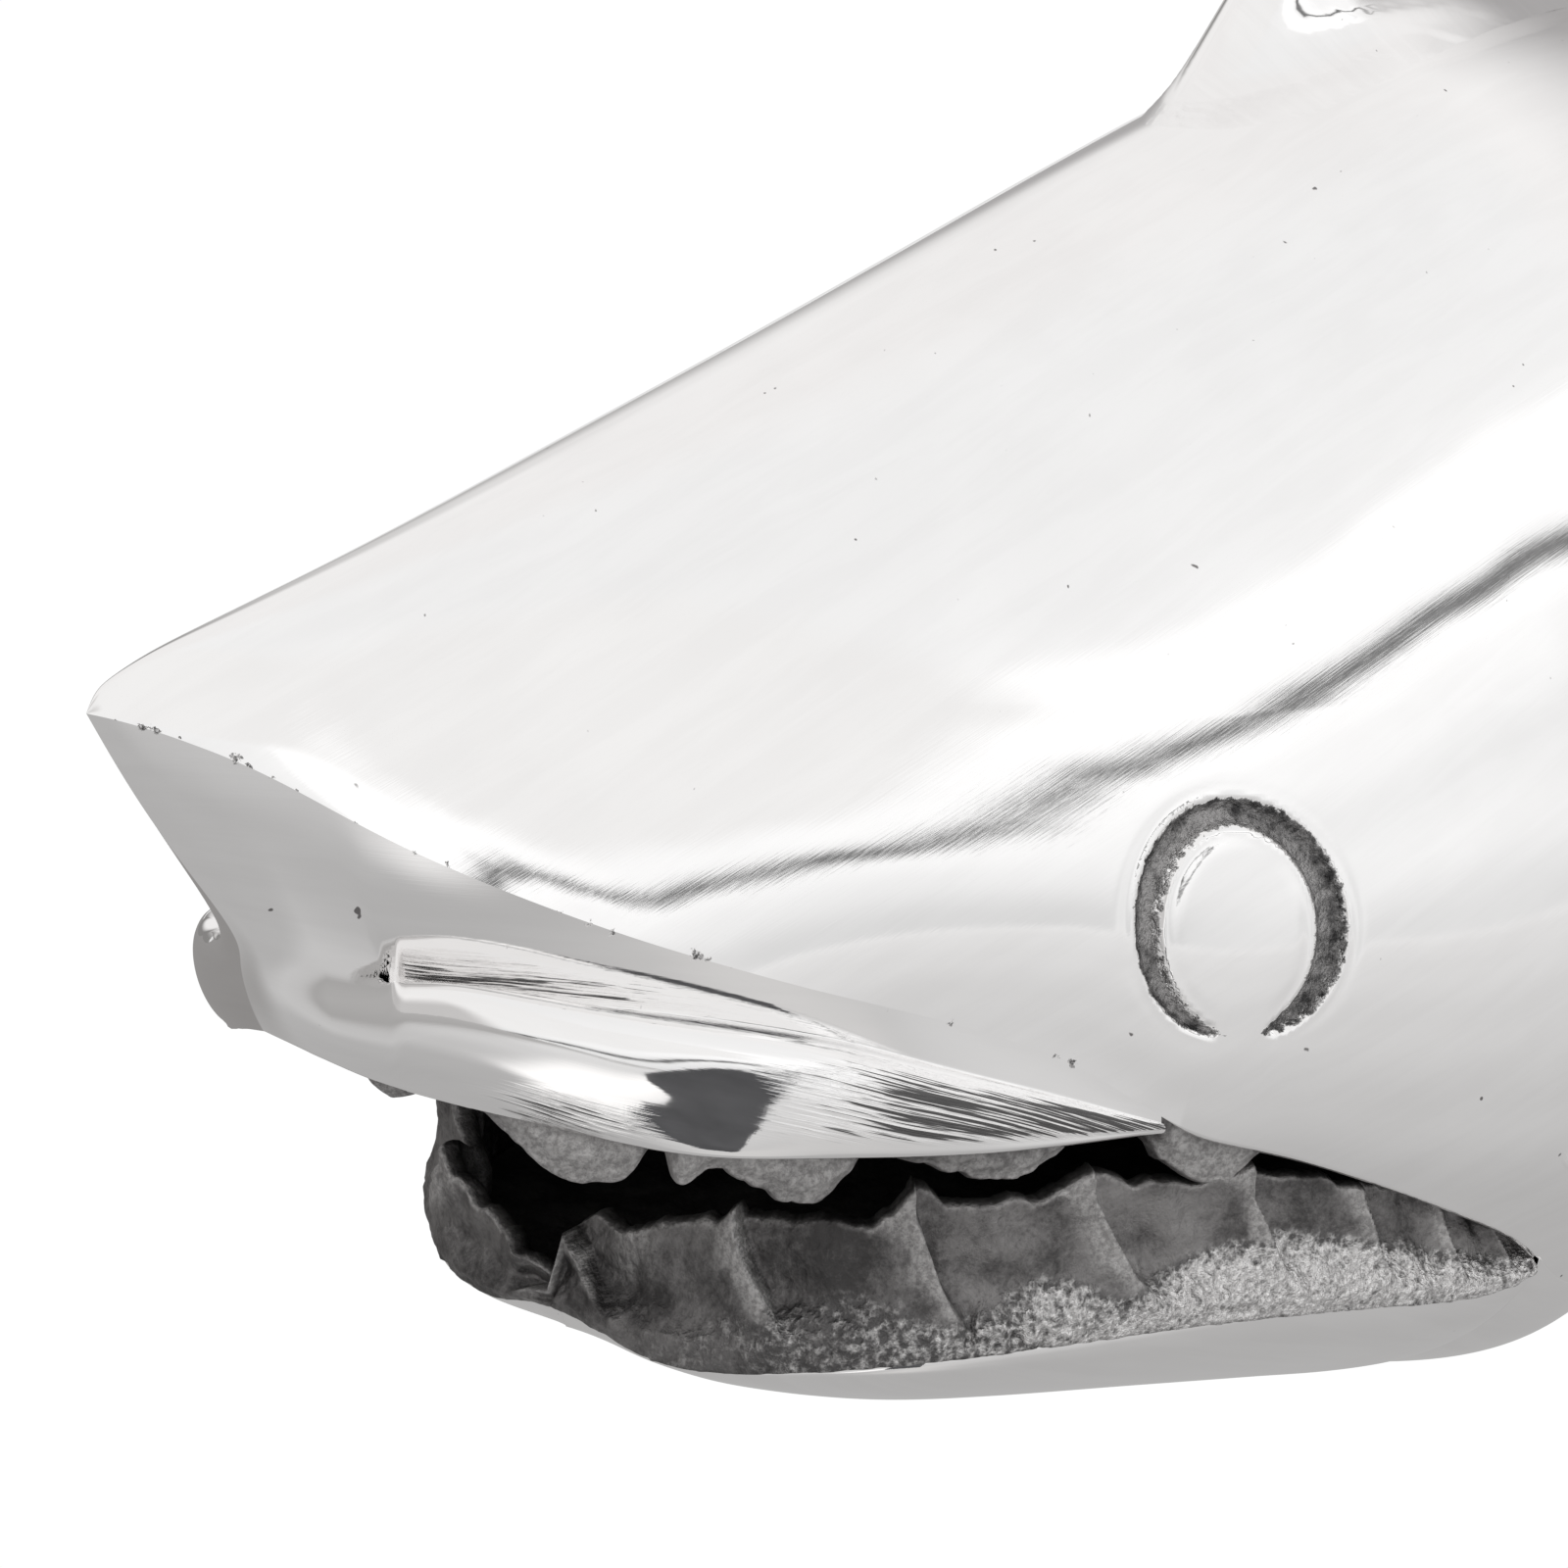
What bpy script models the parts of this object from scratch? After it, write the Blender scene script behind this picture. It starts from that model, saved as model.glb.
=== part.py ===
"""Shark sculpture, cast and polished aluminium, about one metre long.

It stands on the tips of its two pectoral fins and on the lower lobe of its tail, nose raised by PITCH.
The hollow body is two castings that meet along the flanks, a third one closes the underside of the snout,
and the fins, the teeth and the lining of the mouth are pieces of their own.

The head is drawn as a lofting table, in millimetres, in the shark's own frame: a runs from the nose to the tail,
w is the half breadth and h the height over the nose. STAND turns that frame into the standing one, in metres, with
x from nose to tail, z up, and the origin on the table under the middle of the shark.
"""

import bmesh
import bpy
import numpy as np

# ---------------------------------------------------------------- driving dimensions, mm
PITCH = 8.0  # nose up, degrees
NOSE_HEIGHT = 225.0  # nose over the table
NOSE_X = -510.5  # nose, from the middle of the overall length
WALL = 5.5  # casting thickness
GAP = 0.3  # between pieces that touch
LINING = 3.5  # thickness of the mouth lining
BODY_END = 872.0  # where the tail fin takes over


def lane(*rows):
    """A smooth curve through rows of (position, value, ...), as a function of the position."""
    rows = np.array(rows, float)
    x, y = rows[:, 0], rows[:, 1:]
    step = x[1:] - x[:-1]
    slope = (y[1:] - y[:-1]) / step[:, None]
    tangent = np.zeros_like(y)
    tangent[0], tangent[-1] = slope[0], slope[-1]
    tangent[1:-1] = (slope[:-1] * step[1:, None] + slope[1:] * step[:-1, None]) / (
        step[1:] + step[:-1]
    )[:, None]

    def at(t):
        t = np.clip(np.asarray(t, float), x[0], x[-1])
        i = np.clip(np.searchsorted(x, t, side="right") - 1, 0, len(x) - 2)
        s, d = ((t - x[i]) / step[i])[..., None], step[i][..., None]
        value = (
            (2 * s**3 - 3 * s**2 + 1) * y[i]
            + (s**3 - 2 * s**2 + s) * d * tangent[i]
            + (3 * s**2 - 2 * s**3) * y[i + 1]
            + (s**3 - s**2) * d * tangent[i + 1]
        )
        return value[..., 0] if value.shape[-1] == 1 else value

    return at


# Back, from the nose to the tail: a, h.
TOP = lane(
    (0, 0), (1.5, 3), (5, 5.5), (10, 7.8), (16, 10.2), (24, 12.6), (61, 24.4), (105, 40),
    (153, 57.4), (205, 77.3), (259, 98), (320, 119.5), (400, 131), (480, 132), (560, 123),
    (650, 105), (740, 80), (820, 55), (850, 46), (880, 41),
)  # fmt: skip
# Lower edge of the upper casting: the crease of the snout, then the lip from a = 186 to the corner of the mouth at 276,
# then the joint along the flank: a, w, h.
EDGE = lane(
    (0, 0, 0), (3, 2.6, -0.6), (8, 5.2, -2), (20, 12, -6.5), (43.5, 24, -19.5), (75, 38.5, -33),
    (109, 52.5, -44), (142, 64.5, -53), (165, 73, -61), (186, 82, -73.5), (210, 90, -80),
    (234, 98, -88), (258, 103.5, -98), (276, 106, -107), (330, 106, -106), (400, 99, -96),
    (480, 89, -80), (560, 75, -64), (650, 56, -44), (740, 37, -22), (820, 20, -3), (850, 13, 5), (880, 7, 10),
)  # fmt: skip
# Keel of the jaw and the belly: a, h.
KEEL = lane(
    (119, -122), (128, -125.5), (140, -130.5), (165, -137), (200, -142), (276, -149), (330, -153),
    (400, -151), (480, -139), (560, -117), (650, -87), (740, -56), (820, -28), (850, -17), (880, -9),
)  # fmt: skip
# Upper lip and the groove over it, from the middle of the front to the end of the crease: share, a, w, h.
LIP = lane(
    (0, 41, 0, -56), (0.06, 43.5, 10, -57.5), (0.12, 49, 18.5, -60.5), (0.18, 57, 26, -63),
    (0.26, 69, 37, -66), (0.38, 91, 51.5, -71), (0.5, 115, 62, -72.5), (0.62, 141, 73, -73),
    (0.8, 186, 82, -73.5),
)  # fmt: skip
GROOVE = lane(
    (0, 36, 0, -41), (0.05, 38.5, 6, -42.5), (0.14, 53, 17, -47.5), (0.26, 75, 31, -49),
    (0.38, 97, 43, -51), (0.5, 121, 55, -55.3), (0.62, 139, 63, -60.5), (0.8, 186, 82, -73.5),
)  # fmt: skip
# Where on the crease the same ribs start: share, a.
CREASE_AT = lane((0, 0), (0.05, 8), (0.14, 36), (0.26, 64), (0.38, 90), (0.5, 117), (0.62, 138), (0.8, 186))
# Rim of the lower jaw, from the middle of the front to the corner of the mouth: share, a, w, h, and the keel under it.
RIM = lane(
    (0, 117, 0, -118), (0.05, 117.3, 9, -119), (0.1, 119, 18, -121.5), (0.17, 122, 32.5, -121),
    (0.25, 129, 45.5, -118.5), (0.35, 141, 58, -116), (0.5, 169, 71, -114), (0.65, 205, 84, -112.5),
    (0.8, 240, 95, -112.5), (0.92, 266, 102.5, -110.5), (1, 276, 106, -107),
)  # fmt: skip
KEEL_AT = lane((0, 119), (0.1, 125), (0.17, 134), (0.25, 146), (0.35, 162), (0.5, 186), (0.65, 213), (0.8, 243), (1, 276))
# How far the skin under the rim swells outwards, share, mm.
CHIN = lane((0, 3), (0.1, 7), (0.25, 9), (0.45, 7), (0.7, 4), (1, 0))
# Lean of the skin at the lower edge, in degrees outwards from upright, and the handles of the ribs.
LEAN = lane((0, -50), (20, -42), (43, -32), (75, -20), (109, -6), (142, 4), (186, 14), (234, 18), (276, 22), (330, 29), (400, 33), (880, 33))
ROOF = lane((0, 0.5), (60, 0.46), (142, 0.4), (234, 0.36), (330, 0.42), (400, 0.55), (560, 0.8), (880, 0.95))
FLANK = lane((0, 0.4), (60, 0.42), (142, 0.42), (276, 0.44), (400, 0.46), (880, 0.46))
# How full the section is between the joint and the keel: a, share.
BILGE = lane((0, 0.49), (240, 0.5), (330, 0.62), (500, 0.6), (880, 0.56))
# Outward swell of the jaw band over the lip, share, mm.
SWELL = lane((0, 2.5), (0.06, 4), (0.12, 7), (0.2, 9), (0.3, 7.5), (0.4, 6.5), (0.5, 5.5), (0.62, 3.5), (0.74, 1.2), (0.8, 0.3))


def bezier(p0, p1, p2, p3, t):
    t = t[:, None]
    return (1 - t) ** 3 * p0 + 3 * (1 - t) ** 2 * t * p1 + 3 * (1 - t) * t**2 * p2 + t**3 * p3


def back_rib(a, t):
    """Left half of the skin of the upper casting at a, from the back to its lower edge."""
    top = float(TOP(a))
    w, h = EDGE(a)
    lean = np.radians(float(LEAN(a)))
    reach = float(FLANK(a)) * (top - h)
    return bezier(
        np.array([a, 0, top]),
        np.array([a, float(ROOF(a)) * w, top]),
        np.array([a, w + np.sin(lean) * reach, h + np.cos(lean) * reach]),
        np.array([a, w, h]),
        t,
    )


def belly_rib(rim, keel_a, lean, t, swell=0):
    """Left half of the skin of the lower casting, from its rim to the keel."""
    down, across = float(BILGE(keel_a)), float(BILGE(keel_a)) + 0.1
    keel = np.array([keel_a, 0, float(KEEL(keel_a))])
    deep = max(rim[2] - keel[2], 1e-6)
    tuck = min(np.sin(lean) * down * deep, 0.5 * rim[1])
    out = rim + np.array([0.3 * (keel_a - rim[0]), -tuck, -np.cos(lean) * down * deep]) + swell
    return bezier(rim, out, keel + np.array([0, across * rim[1], 0]), keel, t)


def outward(curve, s):
    """Level direction out of a closed-front curve of (a, w, h) at the share s."""
    d = curve(s + 0.004) - curve(max(s - 0.004, 0))
    n = np.array([-d[1], d[0], 0])
    return n / np.linalg.norm(n)


def snout_rib(s, walls, bands):
    """Left half of the snout's underside: the wall from the crease to the groove, then the band to the lip."""
    crease_a = float(CREASE_AT(s))
    w, h = EDGE(crease_a)
    crease, groove, lip = np.array([crease_a, w, h]), GROOVE(s), LIP(s)
    out = outward(LIP, s) if s > 0 else np.array([-1.0, 0, 0])
    t = np.linspace(0, 1, walls + 1)[:, None]
    wall = crease + (groove - crease) * t
    t = np.linspace(0, 1, bands + 1)[1:, None]
    rise = np.array([0, 0, 0.5]) * (1 - t)
    band = groove + (lip - groove) * t + (out + rise) * float(SWELL(s)) * np.sin(np.pi * t**0.65) ** 0.8
    return np.concatenate([wall, band])


def stand(points):
    """Own frame in mm to the standing frame in metres."""
    p = np.asarray(points, float).reshape(-1, 3)
    c, s = np.cos(np.radians(PITCH)), np.sin(np.radians(PITCH))
    return (
        np.stack(
            [
                p[:, 0] * c + p[:, 2] * s + NOSE_X,
                -p[:, 1],
                -p[:, 0] * s + p[:, 2] * c + NOSE_HEIGHT,
            ],
            -1,
        )
        / 1000
    )


# ---------------------------------------------------------------- making the pieces
for old in list(bpy.data.objects):
    bpy.data.objects.remove(old)
scene = bpy.context.scene
parts = bpy.data.collections.new("shark_sculpture")
cutters = bpy.data.collections.new("cutters")
scene.collection.children.link(parts)
scene.collection.children.link(cutters)
cutters.hide_render = True


def metal(name, colour, metallic, roughness):
    material = bpy.data.materials.new(name)
    material.use_nodes = True
    shader = material.node_tree.nodes["Principled BSDF"]
    shader.inputs["Base Color"].default_value = (*colour, 1)
    shader.inputs["Metallic"].default_value = metallic
    shader.inputs["Roughness"].default_value = roughness
    return material


POLISHED = metal("polished_aluminium", (0.86, 0.85, 0.85), 1.0, 0.12)
CAST = metal("raw_cast_aluminium", (0.23, 0.22, 0.22), 0.9, 0.5)
SHADOW = metal("mouth_patina", (0.05, 0.05, 0.05), 0.6, 0.7)


def mesh_object(name, points, faces, material, collection=None):
    mesh = bpy.data.meshes.new(name)
    mesh.from_pydata([tuple(p) for p in stand(points)], [], faces)
    bm = bmesh.new()
    bm.from_mesh(mesh)
    bmesh.ops.remove_doubles(bm, verts=bm.verts, dist=2e-6)
    bmesh.ops.dissolve_degenerate(bm, edges=bm.edges, dist=2e-6)
    bmesh.ops.triangulate(bm, faces=bm.faces)
    bmesh.ops.recalc_face_normals(bm, faces=bm.faces)
    bm.to_mesh(mesh)
    bm.free()
    obj = bpy.data.objects.new(name, mesh)
    (collection or parts).objects.link(obj)
    mesh.materials.append(material)
    return obj


def loft(name, rings, material, closed_ends=(True, True), pair=False, collection=None):
    """A closed body through rings of the same number of points. With pair, a ring is an outer run and then the inner
    run back, and an end is closed between the two runs; otherwise it is closed over the whole ring."""
    n = len(rings[0])
    points = np.concatenate(rings)
    faces = [
        (i * n + j, i * n + (j + 1) % n, (i + 1) * n + (j + 1) % n, (i + 1) * n + j)
        for i in range(len(rings) - 1)
        for j in range(n)
    ]
    for wanted, i in zip(closed_ends, (0, len(rings) - 1)):
        if wanted and pair:
            faces += [(i * n + j, i * n + j + 1, i * n + n - 2 - j, i * n + n - 1 - j) for j in range(n // 2 - 1)]
        elif wanted:
            faces.append(tuple(i * n + j for j in range(n)))
    return mesh_object(name, points, faces, material, collection)


def mirrored(half):
    """A half rib from the middle outwards, made whole from the left edge to the right one."""
    other = half[1:] * np.array([1, -1, 1])
    return np.concatenate([half[::-1], other])


def shell_ring(outer, wall, centre):
    """The outer run and the inner one, which is the outer one drawn in towards the centre by the wall."""
    reach = np.linalg.norm(outer[len(outer) // 2] - centre)
    share = min(1.0, wall / max(reach, 1e-6)) if reach > 2.2 * wall else 1.0
    inner = centre + (outer - centre) * (1 - share)
    return np.concatenate([outer, inner[::-1]])


# Upper casting: the roof of the snout, the cheeks and the back.
stations = [0, 1.5, 4, 8, 14, 20, 28, 36, 44, 55, 66, 78, 90, 102, 115, 128, 142, 154, 165, 176, 186, 198, 210,
            222, 234, 246, 258, 268, 276, 300, 330, 365, 400, 440, 480, 520, 560, 605, 650, 695, 740, 780, 820, BODY_END]  # fmt: skip
t = np.linspace(0, 1, 11)
rings = []
for a in stations:
    outer = mirrored(back_rib(a, t))
    outer[[0, -1], 2] += GAP / 2 if a >= 276 else 0
    rings.append(shell_ring(outer, WALL, np.array([a, 0, outer[0][2]])))
loft("back_casting", rings, POLISHED, (False, True), pair=True)

# Lower casting: the jaw, from its rim down, then the belly.
t = np.linspace(0, 1, 9)
rings = []
for s in np.linspace(0, 1, 22) ** 1.15:
    rim = RIM(s)
    lean = np.radians(8 + 14 * s)
    swell = outward(RIM, s) * float(CHIN(s)) if s > 0 else 0
    outer = mirrored(belly_rib(rim, float(KEEL_AT(s)), lean, t, swell)[::-1])
    outer[[0, -1], 2] -= GAP / 2
    rings.append(shell_ring(outer, WALL * 0.8, np.array([rim[0], 0, outer[0][2]])))
for a in [a for a in stations if a > 276]:
    w, h = EDGE(a)
    outer = mirrored(belly_rib(np.array([a, w, h]), a, np.radians(float(LEAN(a))), t)[::-1])
    outer[[0, -1], 2] -= GAP / 2
    rings.append(shell_ring(outer, WALL, np.array([a, 0, outer[0][2]])))
loft("jaw_belly_casting", rings, POLISHED, (False, True), pair=True)

# Underside of the snout: the wall under the crease, the groove and the band over the upper lip.
shares = np.linspace(0, 0.785, 25)
shares = np.concatenate([-shares[:0:-1], shares])
outer_runs, inner_runs = [], []
for s in shares:
    run = snout_rib(abs(s), 4, 6)
    out = outward(LIP, abs(s)) if s else np.array([-1.0, 0, 0])
    wall = WALL * 0.9 * np.ones((len(run), 1))
    inner = run - out * wall
    inner[:, 1] = np.maximum(inner[:, 1], 0)
    run, inner = run.copy(), inner.copy()
    run[0, 2] -= 0.5
    inner[0, 2] = min(float(EDGE(inner[0, 0])[1]) - 0.6, run[0, 2])
    if s > 0:
        run[:, 1] *= -1
        inner[:, 1] *= -1
    outer_runs.append(run)
    inner_runs.append(inner)
loft("snout_underside", [np.concatenate([o, i[::-1]]) for o, i in zip(outer_runs, inner_runs)], POLISHED)


# ---------------------------------------------------------------- mouth: teeth, lining
def lip_path(u):
    """The upper lip from the middle of its front, u = 0, through the end of the crease at 0.8, to the corner of the mouth."""
    if u <= 0.8:
        return LIP(u)
    a = 186 + (u - 0.8) / 0.2 * 90
    return np.array([a, *EDGE(a)])


def inset(path, u, by):
    """A point of the path, moved level into the mouth."""
    p = path(u)
    if u <= 0:
        return p + np.array([by, 0, 0])
    d = path(min(u + 0.004, 1)) - path(u - 0.004)
    n = np.array([d[1], -d[0], 0])
    return p + n / np.linalg.norm(n) * by


def scallop(u, marks, sharp):
    """1 at each mark and 0 half way between two of them."""
    i = int(np.clip(np.searchsorted(marks, u) - 1, 0, len(marks) - 2))
    x = np.clip((u - marks[i]) / (marks[i + 1] - marks[i]), 0, 1)
    return abs(2 * x - 1) ** sharp


def band_rings(shares, section):
    """Rings of a band that runs round the mouth from its left end to its right one."""
    rings = []
    for u in np.concatenate([-np.array(shares)[:0:-1], shares]):
        ring = np.array(section(abs(u)))
        ring[:, 1] = np.maximum(ring[:, 1], 0) * (-1 if u > 0 else 1)
        rings.append(ring)
    return rings


UPPER_TEETH = [0.0, 0.13, 0.24, 0.365, 0.54, 0.765, 0.88, 0.95]  # gaps between the lobes
LOWER_TEETH = [0.0, 0.19, 0.365, 0.54, 0.655, 0.76, 0.87, 0.96]  # cusps
GUM_HEIGHT = lane((0, 22), (0.2, 24), (0.365, 25.5), (0.54, 24), (0.655, 19), (0.8, 12), (0.92, 6), (0.96, 3))
TOOTH_ROOT = lane((0, 4.5), (0.35, 4), (0.5, 2.5), (0.62, 1.2), (0.8, 1), (0.95, 1.5))
TOOTH_DROP = lane((0, 1.5), (0.14, 2), (0.22, 6), (0.3, 10), (0.45, 9.5), (0.65, 9), (0.82, 7), (0.95, 2.5))


def upper_section(u):
    drop = float(TOOTH_DROP(u)) * (0.3 + 0.7 * (1 - scallop(u, UPPER_TEETH, 1.6)))
    out, inn = inset(lip_path, u, 5.6), inset(lip_path, u, 9.6)
    up, down = np.array([0, 0, float(TOOTH_ROOT(u))]), np.array([0, 0, -drop])
    return [out + up, out, out + down * 0.7, out * 0.5 + inn * 0.5 + down, inn + down * 0.7, inn, inn + up]


def lower_section(u):
    point = scallop(u, LOWER_TEETH, 2.2)
    tall = float(GUM_HEIGHT(u)) * (0.84 + 0.16 * point)
    wide = 7 - 3 * max(u - 0.6, 0) / 0.36
    bay = 1.6 * (1 - point)
    foot, back = inset(RIM, u, 0.5), inset(RIM, u, 0.5 + wide)
    base = np.array([0, 0, 1.5])

    def at(share, lean):
        return foot + (inset(RIM, u, 1.5) - foot) * lean + base + np.array([0, 0, tall * share])

    return [
        foot + base,
        at(0.35, 0.6 + bay),
        at(0.7, 1.6 + bay * 1.4),
        at(1, 3.2 + bay),
        at(0.96, 4.6),
        back + base + np.array([0, 0, tall * 0.55]),
        back + base,
    ]


shares = np.linspace(0, 0.95, 40)
loft("upper_teeth", band_rings(shares, upper_section), CAST)
shares = np.linspace(0, 0.96, 43)
loft("lower_teeth", band_rings(shares, lower_section), CAST)


def roof_ring(edge, centre, thick, arch=2.0):
    """A plate across the mouth, from edge to edge, as high as centre in the middle."""
    x = np.linspace(0, 1, 8)[:, None]
    half = centre + (edge - centre) * x
    half[:, 2] = centre[2] + (edge[2] - centre[2]) * x[:, 0] ** arch
    run = mirrored(half)
    return np.concatenate([run, (run + np.array([0, 0, thick]))[::-1]])


PALATE = lane((52, -52.5), (80, -55), (120, -53), (180, -52), (230, -56), (262, -66), (278, -84), (290, -113))
rings = []
for u in np.linspace(0, 0.95, 26):
    edge = inset(lip_path, u, 10) + np.array([0, 0, 1.2])
    centre_a = max(edge[0], 52)
    rings.append(roof_ring(edge, np.array([centre_a + 4 * (1 - u), 0, float(PALATE(centre_a))]), LINING))
for a, w, h in ((267, 94, -102), (274, 91, -105), (282, 88, -108.5), (290, 85, -112)):
    rings.append(roof_ring(np.array([a, w, h]), np.array([a, 0, float(PALATE(a))]), LINING))
loft("mouth_roof", rings, SHADOW, (False, True), pair=True)

FLOOR = lane((130, -120), (150, -119), (200, -116), (250, -115.5), (292, -117))
rings = []
for u in np.linspace(0, 0.84, 18):
    edge = inset(RIM, u, 8.9) + np.array([0, 0, 1.5])
    centre_a = edge[0]
    rings.append(roof_ring(edge, np.array([centre_a + 5 * (1 - u), 0, float(FLOOR(centre_a)) + 1.5]), LINING * 0.8))
for a, w in ((270, 78), (280, 75), (294, 70)):
    rings.append(roof_ring(np.array([a, w, -116.5]), np.array([a, 0, -116.5]), LINING * 0.8))
loft("mouth_floor", rings, SHADOW, (False, True), pair=True)

# ---------------------------------------------------------------- fins
def blade(sections, n=8):
    """Rings of a fin. A section is (leading a, w, h), (trailing a, w, h), thickness; the thickness is set square to
    the fin, from the sections before and after it."""
    x = (1 - np.cos(np.linspace(0, np.pi, n))) / 2
    half = 5 * (0.2969 * np.sqrt(x) - 0.126 * x - 0.3516 * x**2 + 0.2843 * x**3 - 0.1015 * x**4)
    mids = [(np.array(s[0], float) + np.array(s[1], float)) / 2 for s in sections]
    rings = []
    for i, (lead, trail, thick) in enumerate(sections):
        lead, trail = np.array(lead, float), np.array(trail, float)
        span = mids[min(i + 1, len(mids) - 1)] - mids[max(i - 1, 0)]
        normal = np.cross(trail - lead, span)
        normal /= np.linalg.norm(normal)
        line = lead + (trail - lead) * x[:, None]
        over = line + normal * (half * thick + 0.5 * x)[:, None]
        under = line - normal * (half * thick + 0.5 * x)[:, None]
        rings.append(np.concatenate([over, under[:0:-1]]))
    return rings


def sweep(rows, n=10):
    """Sections along a fin from a short table of (share, lead a, w, h, trail a, w, h, thickness)."""
    curve = lane(*rows)
    return [(r[0:3], r[3:6], r[6]) for r in (curve(s) for s in np.linspace(rows[0][0], rows[-1][0], n))]


def side(sections, sign):
    flip = np.array([1, sign, 1])
    return [(np.array(l) * flip, np.array(t) * flip, k) for l, t, k in sections]


FINS = {
    "dorsal_fin": sweep([
        (0, 250, 0, 78, 428, 0, 88, 27), (0.2, 274, 0, 117, 424, 0, 121, 22), (0.5, 315, 0, 168, 424, 0, 165, 15),
        (0.8, 362, 0, 218, 434, 0, 210, 9), (0.93, 389, 0, 242, 445, 0, 234, 6), (0.98, 409, 0, 252, 451, 0, 246, 4),
        (1, 430, 0, 257, 450, 0, 254, 2.5)]),
    "rear_dorsal_fin": sweep([
        (0, 684, 0, 86, 742, 0, 70, 8), (0.4, 697, 0, 107, 742, 0, 94, 6), (0.8, 716, 0, 123, 752, 0, 113, 4.5),
        (0.95, 730, 0, 130, 759, 0, 122, 3.5), (1, 744, 0, 133, 759, 0, 129, 2.5)]),
    "anal_fin": sweep([
        (0, 704, 0, -62, 764, 0, -40, 8), (0.4, 718, 0, -84, 768, 0, -66, 6), (0.8, 740, 0, -99, 780, 0, -86, 4.5),
        (0.95, 755, 0, -105, 787, 0, -95, 3.5), (1, 771, 0, -107, 788, 0, -102, 2.5)]),
    "tail_fin": sweep([
        (0, 960, 0, -105, 992, 0, -114, 7), (0.12, 930, 0, -80, 966, 0, -92, 10), (0.3, 884, 0, -36, 928, 0, -46, 14),
        (0.45, 852, 0, 6, 916, 0, 4, 16), (0.52, 850, 0, 24, 916, 0, 26, 16), (0.65, 876, 0, 62, 930, 0, 72, 13),
        (0.85, 936, 0, 134, 968, 0, 138, 8), (1, 988, 0, 178, 1006, 0, 178, 4)], 15),
}  # fmt: skip
PECTORAL = sweep([
    (0, 306, 70, -72, 428, 62, -78, 25), (0.18, 317, 103, -96, 428, 97, -101, 19), (0.5, 342, 163, -134, 420, 157, -142, 13),
    (0.8, 368, 212, -162, 416, 206, -169, 9.5), (0.95, 384, 236, -173, 418, 231, -178, 7),
    (1, 397, 242, -176, 416, 239, -179, 5.5)])  # fmt: skip
PELVIC = sweep([
    (0, 586, 42, -76, 652, 38, -70, 10), (0.4, 604, 62, -94, 658, 56, -88, 7), (0.8, 628, 80, -108, 668, 74, -104, 5),
    (0.95, 643, 87, -113, 674, 82, -109, 4), (1, 657, 89, -114, 675, 86, -111, 3)], 8)  # fmt: skip
for name, sign in (("left", 1), ("right", -1)):
    FINS[f"pectoral_fin_{name}"] = side(PECTORAL, sign)
    FINS[f"pelvic_fin_{name}"] = side(PELVIC, sign)

# The body, closed and a gap larger all round, cuts the roots of the fins.
rings = []
t = np.linspace(0, 1, 11)
for a in [a for a in stations if a >= 222]:
    w, h = EDGE(a)
    rim = np.array([a, w, h])
    upper = mirrored(back_rib(a, t))
    lower = mirrored(belly_rib(rim, a, np.radians(float(LEAN(a))), np.linspace(0, 1, 9))[::-1])
    ring = np.concatenate([upper, lower[::-1][1:-1]])
    centre = np.array([a, 0, (float(TOP(a)) + float(KEEL(a))) / 2])
    reach = np.linalg.norm(ring - centre, axis=1)[:, None]
    rings.append(centre + (ring - centre) * (1 + GAP * 1.6 / reach))
rings[-1] = rings[-1] + np.array([1.0, 0, 0])
cutter = loft("body_cutter", rings, POLISHED, collection=cutters)
cutter.hide_render = True
cutter.display_type = "WIRE"

table = bpy.data.meshes.new("table_cutter")
bm = bmesh.new()
bmesh.ops.create_cube(bm, size=1)
bmesh.ops.scale(bm, vec=(3, 3, 0.2), verts=bm.verts)
bmesh.ops.translate(bm, vec=(0, 0, -0.1), verts=bm.verts)
bm.to_mesh(table)
bm.free()
table = bpy.data.objects.new("table_cutter", table)
cutters.objects.link(table)
table.hide_render = True
table.display_type = "WIRE"

for name, sections in FINS.items():
    fin = loft(name, blade(sections), POLISHED)
    for tool, wanted in ((cutter, True), (table, name.startswith(("pectoral", "tail")))):
        if wanted:
            cut = fin.modifiers.new(f"less_{tool.name}", "BOOLEAN")
            cut.operation, cut.solver, cut.object = "DIFFERENCE", "EXACT", tool
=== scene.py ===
"""Shark sculpture, cast and polished aluminium: the visual model over the CAD frame.

The skin of the head and the body is rebuilt on fine grids from the same rails as the castings, in millimetres in the
shark's own frame: a from the nose to the tail, w the half breadth, h the height over the nose. The teeth and gums are
rough castings with their own relief, and the fins have rounded edges and filleted roots.
"""

import bpy
import numpy as np
from mathutils import Matrix


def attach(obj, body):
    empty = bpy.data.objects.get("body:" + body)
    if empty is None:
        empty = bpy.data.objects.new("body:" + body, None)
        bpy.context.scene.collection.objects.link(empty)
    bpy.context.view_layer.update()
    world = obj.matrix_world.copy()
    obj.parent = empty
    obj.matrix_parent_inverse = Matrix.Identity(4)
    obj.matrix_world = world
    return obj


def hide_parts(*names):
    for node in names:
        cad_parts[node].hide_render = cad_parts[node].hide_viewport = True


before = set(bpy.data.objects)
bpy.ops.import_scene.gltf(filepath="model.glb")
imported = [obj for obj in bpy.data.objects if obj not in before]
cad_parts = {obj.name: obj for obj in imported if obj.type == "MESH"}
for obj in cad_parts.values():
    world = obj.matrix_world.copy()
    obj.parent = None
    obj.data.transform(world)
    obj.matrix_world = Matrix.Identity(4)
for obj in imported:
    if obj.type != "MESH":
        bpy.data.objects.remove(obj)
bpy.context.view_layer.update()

PITCH = 8.0
NOSE_HEIGHT = 225.0
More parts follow.
